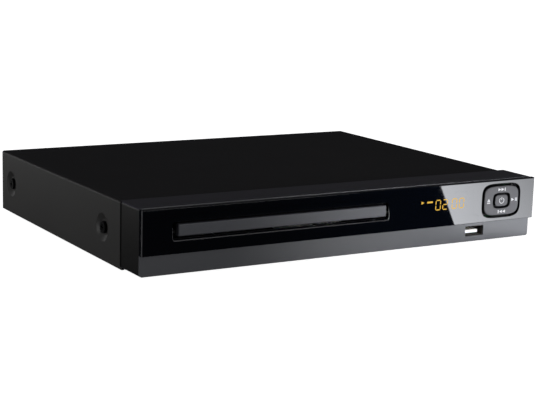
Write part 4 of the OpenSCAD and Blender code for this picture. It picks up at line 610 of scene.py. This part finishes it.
# %% Panel a little lower than the ledge
PANEL_TOP_FROM, LOWER_BY = place([0, 0, 37.0])[2], 0.00035
panel_points = np.empty(3 * len(panel.data.vertices))
panel.data.vertices.foreach_get("co", panel_points)
heights = panel_points.reshape(-1, 3)[:, 2]
heights[heights > PANEL_TOP_FROM] -= LOWER_BY
panel.data.vertices.foreach_set("co", panel_points)
panel.data.update()
print("panel lowered along", int((heights > PANEL_TOP_FROM).sum()), "points")

# %% [markdown]
# A fine bead runs round the tray's slot, half sunk into its bevel. It is a small circle swept round a rectangle
# with round corners: at the angle a of the circle, the rectangle has grown by BEAD_OUT + BEAD cos a and lies at
# the depth BEAD_Y + BEAD sin a. Towards the top the bead sinks into the panel, as the line fades there.

# %% Bead round the slot
SLOT_X, SLOT_Z, SLOT_RADIUS = (-113.55, 24.05), (20.6, 30.2), 1.2
BEAD, BEAD_Y, BEAD_OUT = 0.27, -3.08, 0.3
SINK, SINK_FROM, SINK_OVER = 0.6, 27.5, 2.0
slot_half = np.array([SLOT_X[1] - SLOT_X[0], SLOT_Z[1] - SLOT_Z[0]]) / 2
slot_middle = (sum(SLOT_X) / 2, 0.0, sum(SLOT_Z) / 2)
turn = np.linspace(0, 2 * np.pi, 12, endpoint=False)
grow = BEAD_OUT + BEAD * np.cos(turn)
bead_loops = [rounded_loop(*(slot_half + g), SLOT_RADIUS + g) for g in grow]
satin_black = finish("slot_bead", (0.030, 0.030, 0.033), 0.25, scale=900, relief=0.000005)
bead_points, bead_quads = rings(bead_loops, BEAD_Y + BEAD * np.sin(turn), slot_middle, rows_closed=True)
bead_points[:, 1] += SINK * np.clip((bead_points[:, 2] - SINK_FROM) / SINK_OVER, 0.0, 1.0)
piece("slot_bead", [(bead_points, bead_quads)], "gloss_panel", material=satin_black)

# %% [markdown]
# ## Keypad
# The real keypad is one moulded ring with a soft pillow face. It fills a hole with bulging sides in the panel,
# and the power key sits in its own hole in the middle. A ring like that is a tube bent round a superellipse:
# each section runs from the rear of the outer wall over the domed face to the rear of the inner wall. The
# section is the same everywhere, so one grid does it, closed both ways: row i lies a share of the way from the
# outer loop to the inner one, at its own depth. Quarter circles soften the outer rim and the inner lip. The
# ears and pegs behind it are plain blocks and rods, as in the CAD.

# %% Four-way key
PAD = np.array([106.3, 0.0, 25.8])
RIM, LIP, RING_WIDTH, PAD_REAR, KEY_CREASE = 0.8, 0.3, 5.0, 0.8, 40
outer_loop, inner_loop = loop(13.1, 8.9, 4.2), loop(6.6, 4.75, 3.6)
quarter = np.radians(np.linspace(0, 90, 7))
share = [0.0, *(RIM / RING_WIDTH * (1 - np.cos(quarter))), 0.45, 0.7,
         *(1 - LIP / RING_WIDTH * (1 - np.sin(quarter))), 1.0]
depths = [PAD_REAR, *(KEY_FACE + 0.05 + RIM * (1 - np.sin(quarter))), KEY_FACE + 0.03, KEY_FACE + 0.04,
          *(KEY_FACE + 0.05 + LIP * (1 - np.cos(quarter))), PAD_REAR]
pad_rows = [outer_loop + (inner_loop - outer_loop) * part for part in share]
pad_parts = [rings(pad_rows, depths, PAD, rows_closed=True)]
EAR_Z, PEG_X, PEG_Z, PEG_FRONT, PEG_REAR = 7.7, 9.6, 6.1, 0.7, 3.9
for sign in (-1, 1):
    ear_z = sign * EAR_Z
    pad_parts.append(block(PAD + [-1.3, PEG_FRONT, ear_z - 0.4], PAD + [1.3, 4.6, ear_z + 0.4], 0.1))
    pad_parts.append(turned(rod(1.0, PEG_FRONT, PEG_REAR), PAD + [sign * PEG_X, 0, 0]))
    pad_parts.append(turned(rod(0.8, PEG_FRONT, PEG_REAR), PAD + [0, 0, sign * PEG_Z]))
piece("keypad_pillow", pad_parts, "key_plastic", "key_pad", ["key_pad"], KEY_CREASE)

# %% [markdown]
# The power key's cap is the same kind of loop, shrunk towards its middle to close the face. A quarter of an
# ellipse, 12 percent of the half width by 0.45 mm deep, softens its edge. A rod behind it reaches the switch.

# %% Power key
KEY_EDGE, KEY_EDGE_DEPTH, KEY_REAR = 0.12, 0.45, -1.0
key_loop = loop(4.75, 3.4, 4.2)
key_share = [0.0, 0.5, *(1 - KEY_EDGE * (1 - np.sin(quarter))), 1.0, 0.0]
key_depths = [KEY_FACE + 0.02, KEY_FACE + 0.03, *(KEY_FACE + 0.06 + KEY_EDGE_DEPTH * (1 - np.cos(quarter))),
              KEY_REAR, KEY_REAR]
piece("power_key_cap", [rings([key_loop * part for part in key_share], key_depths, PAD),
                        turned(rod(1.2, KEY_REAR - 0.1, 4.1), PAD)],
      "key_plastic", "power_key", ["power_button"], KEY_CREASE)

# %% [markdown]
# The symbols are printed: play and pause at the right, previous below, eject at the left, next above and the
# power sign on the key in the middle. They are generic signs, made of triangles, bars and one open ring.

# %% Printed symbols
INK = (KEY_FACE, KEY_FACE + 0.3)
triangle = np.array([[-1.05, -0.95], [1.05, 0.0], [-1.05, 0.95]])
print_grey = finish("key_print", (0.40, 0.40, 0.41), 0.5, scale=900, depth=0.05)


def bar(width, height):
    """A rectangle round its own middle, as an outline."""
    return np.array([[-1, -1], [1, -1], [1, 1], [-1, 1]]) * [width / 2, height / 2]


def mark(outline, x, z, flip=1):
    """One printed shape at a place counted from the middle of the keypad; flip -1 mirrors it."""
    return tile(outline[::flip] * [flip, 1], *INK, (PAD[0] + x, PAD[2] + z))


def track_sign(z, flip):
    """Two triangles and a bar, for the next track, or mirrored for the previous one."""
    return [mark(triangle, flip * -1.95, z, flip), mark(triangle, flip * 0.4, z, flip),
            mark(bar(0.6, 2.1), flip * 2.2, z)]


EJECT_X, TRACK_Z = -9.9, 6.75
arrow_up, pause_bar = np.array([[-1.15, 0.0], [1.15, 0.0], [0.0, 2.0]]), bar(0.55, 2.0)
eject_sign = [mark(arrow_up, EJECT_X, -0.2), mark(bar(2.3, 0.6), EJECT_X, -0.95)]
play_sign = [mark(triangle, 8.5, 0), mark(pause_bar, 10.55, 0), mark(pause_bar, 11.5, 0)]
piece("keypad_symbols", track_sign(TRACK_Z, 1) + track_sign(-TRACK_Z, -1) + eject_sign + play_sign,
      "white_plastic", "key_pad", material=print_grey)
piece("power_symbol", [band(1.5, 1.92, (125, 415), *INK, PAD[::2]), mark(bar(0.5, 1.7), 0, 1.25)],
      "white_plastic", "power_key", material=print_grey)

# %% [markdown]
# ## Display
# The window is smoked acrylic, level with the panel, and one display block with four digits, a dash and a play
# sign sits behind it. In the photograph the lit bars are as clear in front of the mirrored card as beside it,
# so here they lie on the window's outer face. Each bar has pointed ends, and the digits lean two degrees: X
# grows by Z tan 2.

# %% Window and digits
piece("display_window_pane", [block(WINDOW_LOW - [0.1, 0.01, 0.1], WINDOW_HIGH + [0.1, 0.0, 0.1], 0.01)],
      "smoked_window", "root", ["display_window"])
LIT = (WINDOW_LOW[1] - 0.05, WINDOW_LOW[1])
BAR_WIDTH, BAR_GAP, DIGIT, LEAN = 0.58, 0.2, np.array([3.3, 5.7]), math.tan(math.radians(2))
DIGITS_X, DIGITS_Z, SIGNS_Z = (57.1, 62.2, 69.0, 74.3), 23.6, 28.5
corners_of_digit = np.array([[0, 0], [1, 0], [0, 0.5], [1, 0.5], [0, 1], [1, 1]]) * DIGIT
ZERO = [(0, 1), (0, 2), (2, 4), (4, 5), (5, 3), (3, 1)]
TWO = [(4, 5), (5, 3), (3, 2), (2, 0), (0, 1)]


def lit_bar(start, end, corner):
    """A bar with pointed ends between two points, leaning like the digit whose lower left corner is given."""
    along = (end - start) / np.linalg.norm(end - start)
    across = np.array([-along[1], along[0]]) * BAR_WIDTH / 2
    first, last = start + along * BAR_GAP, end - along * BAR_GAP
    tip = along * BAR_WIDTH / 2
    outline = np.array([first, first + tip + across, last - tip + across, last, last - tip - across,
                        first + tip - across])
    outline[:, 0] += outline[:, 1] * LEAN
    return tile(outline, *LIT, corner)


lit_bars = [lit_bar(corners_of_digit[a], corners_of_digit[b], (x + BAR_WIDTH / 2, DIGITS_Z))
            for x, digit in zip(DIGITS_X, (ZERO, TWO, ZERO, ZERO)) for a, b in digit]
lit_bars += [tile([[-1.0, -0.9], [1.0, 0.0], [-1.0, 0.9]], *LIT, (48.0, SIGNS_Z)),
             tile(bar(4.0, 1.0), *LIT, (53.1, SIGNS_Z))]
piece("display_digits_lit", lit_bars, "amber_light", "root", ["display_digits"])

# %% [markdown]
# ## Serial port
# The socket's shell is folded from thin sheet, so its section is a rounded rectangle of even thickness: two
# superellipses of high power, 0.4 mm apart, joined over a rounded front edge. The shell is coloured near black
# and not metallic, as painted shade for the inside of the port, in place of bright metal. The white tongue
# carries four gold contacts on its upper side.

# %% Port
PORT = np.array([89.7, 0.0, 7.9])
SHELL_EDGE, SHELL_FRONT, SHELL_REAR, SHELL_POWER = 0.6, 0.72, 14.2, 12
TONGUE_LOW, TONGUE_HIGH = PORT + [-5.55, 3.8, -2.1], PORT + [5.55, 12.3, -0.1]
CONTACTS_X = (-3.5, -1.0, 1.0, 3.5)
shell_outer, shell_inner = loop(6.7, 2.8, SHELL_POWER), loop(6.3, 2.4, SHELL_POWER)
shell_middle = (shell_outer + shell_inner) / 2
# Painted shade: the shell's finish is near black and not metallic, standing in for the shade inside the port.
shell_shade_finish = finish("port_shell_painted_shade", (0.010, 0.008, 0.006), 0.5, scale=900, depth=0.1, IOR=1.2)
piece("port_shell_folded", [rings([shell_outer, shell_outer, shell_middle, shell_inner, shell_inner],
                                  [SHELL_REAR, SHELL_FRONT, SHELL_EDGE, SHELL_FRONT, SHELL_REAR], PORT,
                                  rows_closed=True)],
      "bright_metal", "root", ["port_shell"], material=shell_shade_finish)
piece("port_tongue_block", [block(TONGUE_LOW, TONGUE_HIGH, 0.2)], "white_plastic", "root", ["port_tongue"])
piece("port_base_block", [block(PORT + [-6.25, 12.2, -2.38], PORT + [6.25, SHELL_REAR, 2.38], 0.05)],
      "black_plastic")
gold = finish("gold_contacts", (0.83, 0.56, 0.20), 0.24, scale=900, depth=0.1, Metallic=1.0)
piece("port_contacts", [block(PORT + [x - 0.5, 6.5, -0.14], PORT + [x + 0.5, 11.5, -0.02], 0.03)
                        for x in CONTACTS_X], "bright_metal", material=gold)

# %% [markdown]
# ## Sockets at the back
# Phono jacks are the same part in three colours: a black block, a plated barrel and a coloured insulator round
# the contact hole. Barrel and insulator are closed profiles of radius and depth, turned on a lathe.

# %% Phono jacks
BOARD, JACK_HEIGHT, FLANGE, REAR = 5.6, 8, 205.9, 214.8
JACK_Z = BOARD + JACK_HEIGHT
jacks = ((-14.0, "white_plastic", "left"), (0.0, "jack_plastic", "right"), (14.0, "yellow_plastic", "video"))
barrel = [(4.95, FLANGE), (4.95, 207.6), (4.75, 208.0), (4.15, 208.0), (4.15, 214.5), (3.9, REAR), (3.5, REAR),
          (3.3, 214.5), (3.3, FLANGE), (4.95, FLANGE)]
insert = [(3.3, FLANGE), (3.3, 214.0), (3.1, 214.2), (2.0, 214.2), (1.6, 213.8), (1.6, FLANGE), (3.3, FLANGE)]
piece("phono_blocks", [block((x - 5.5, 191.5, BOARD), (x + 5.5, 206.0, JACK_Z + 5.5), 0.3)
                       for x, _, _ in jacks], "black_plastic", "root", ["phono_jacks"])
for x, colour, channel in jacks:
    piece(f"phono_barrel_{channel}", [turned(barrel, (x, 0, JACK_Z), 40)], "bright_metal")
    piece(f"phono_insert_{channel}", [turned(insert, (x, 0, JACK_Z), 40)], colour)

# %% [markdown]
# The mains inlet has two steel pins with rounded tips. The digital socket has a flat tongue with a row of nine
# gold contacts on both sides.

# %% Mains pins and digital socket
INLET_X, INLET_Z, PIN_X = 116.5, 14, 4.3
CONTACT_UNDERSIDES, DIGITAL_CONTACTS_X = (8.1, 9.4), np.linspace(90.2, 99.8, 9)
pin = [(0, 190.8), (1.22, 190.8), (1.22, 204.0), (0.9, 204.9), (0.4, 205.2), (0, 205.2)]
piece("inlet_pins", [turned(pin, (INLET_X + x, 0, INLET_Z), 32) for x in (-PIN_X, PIN_X)], "bright_metal")
piece("video_socket_tongue", [block((89.0, 198.3, 8.18), (101.0, 206.32, 9.42), 0.1)], "black_plastic")
piece("video_socket_contacts", [block((x - 0.2, 200.0, under), (x + 0.2, 206.2, under + 0.1), 0.03)
                                for under in CONTACT_UNDERSIDES for x in DIGITAL_CONTACTS_X],
      "bright_metal", material=gold)
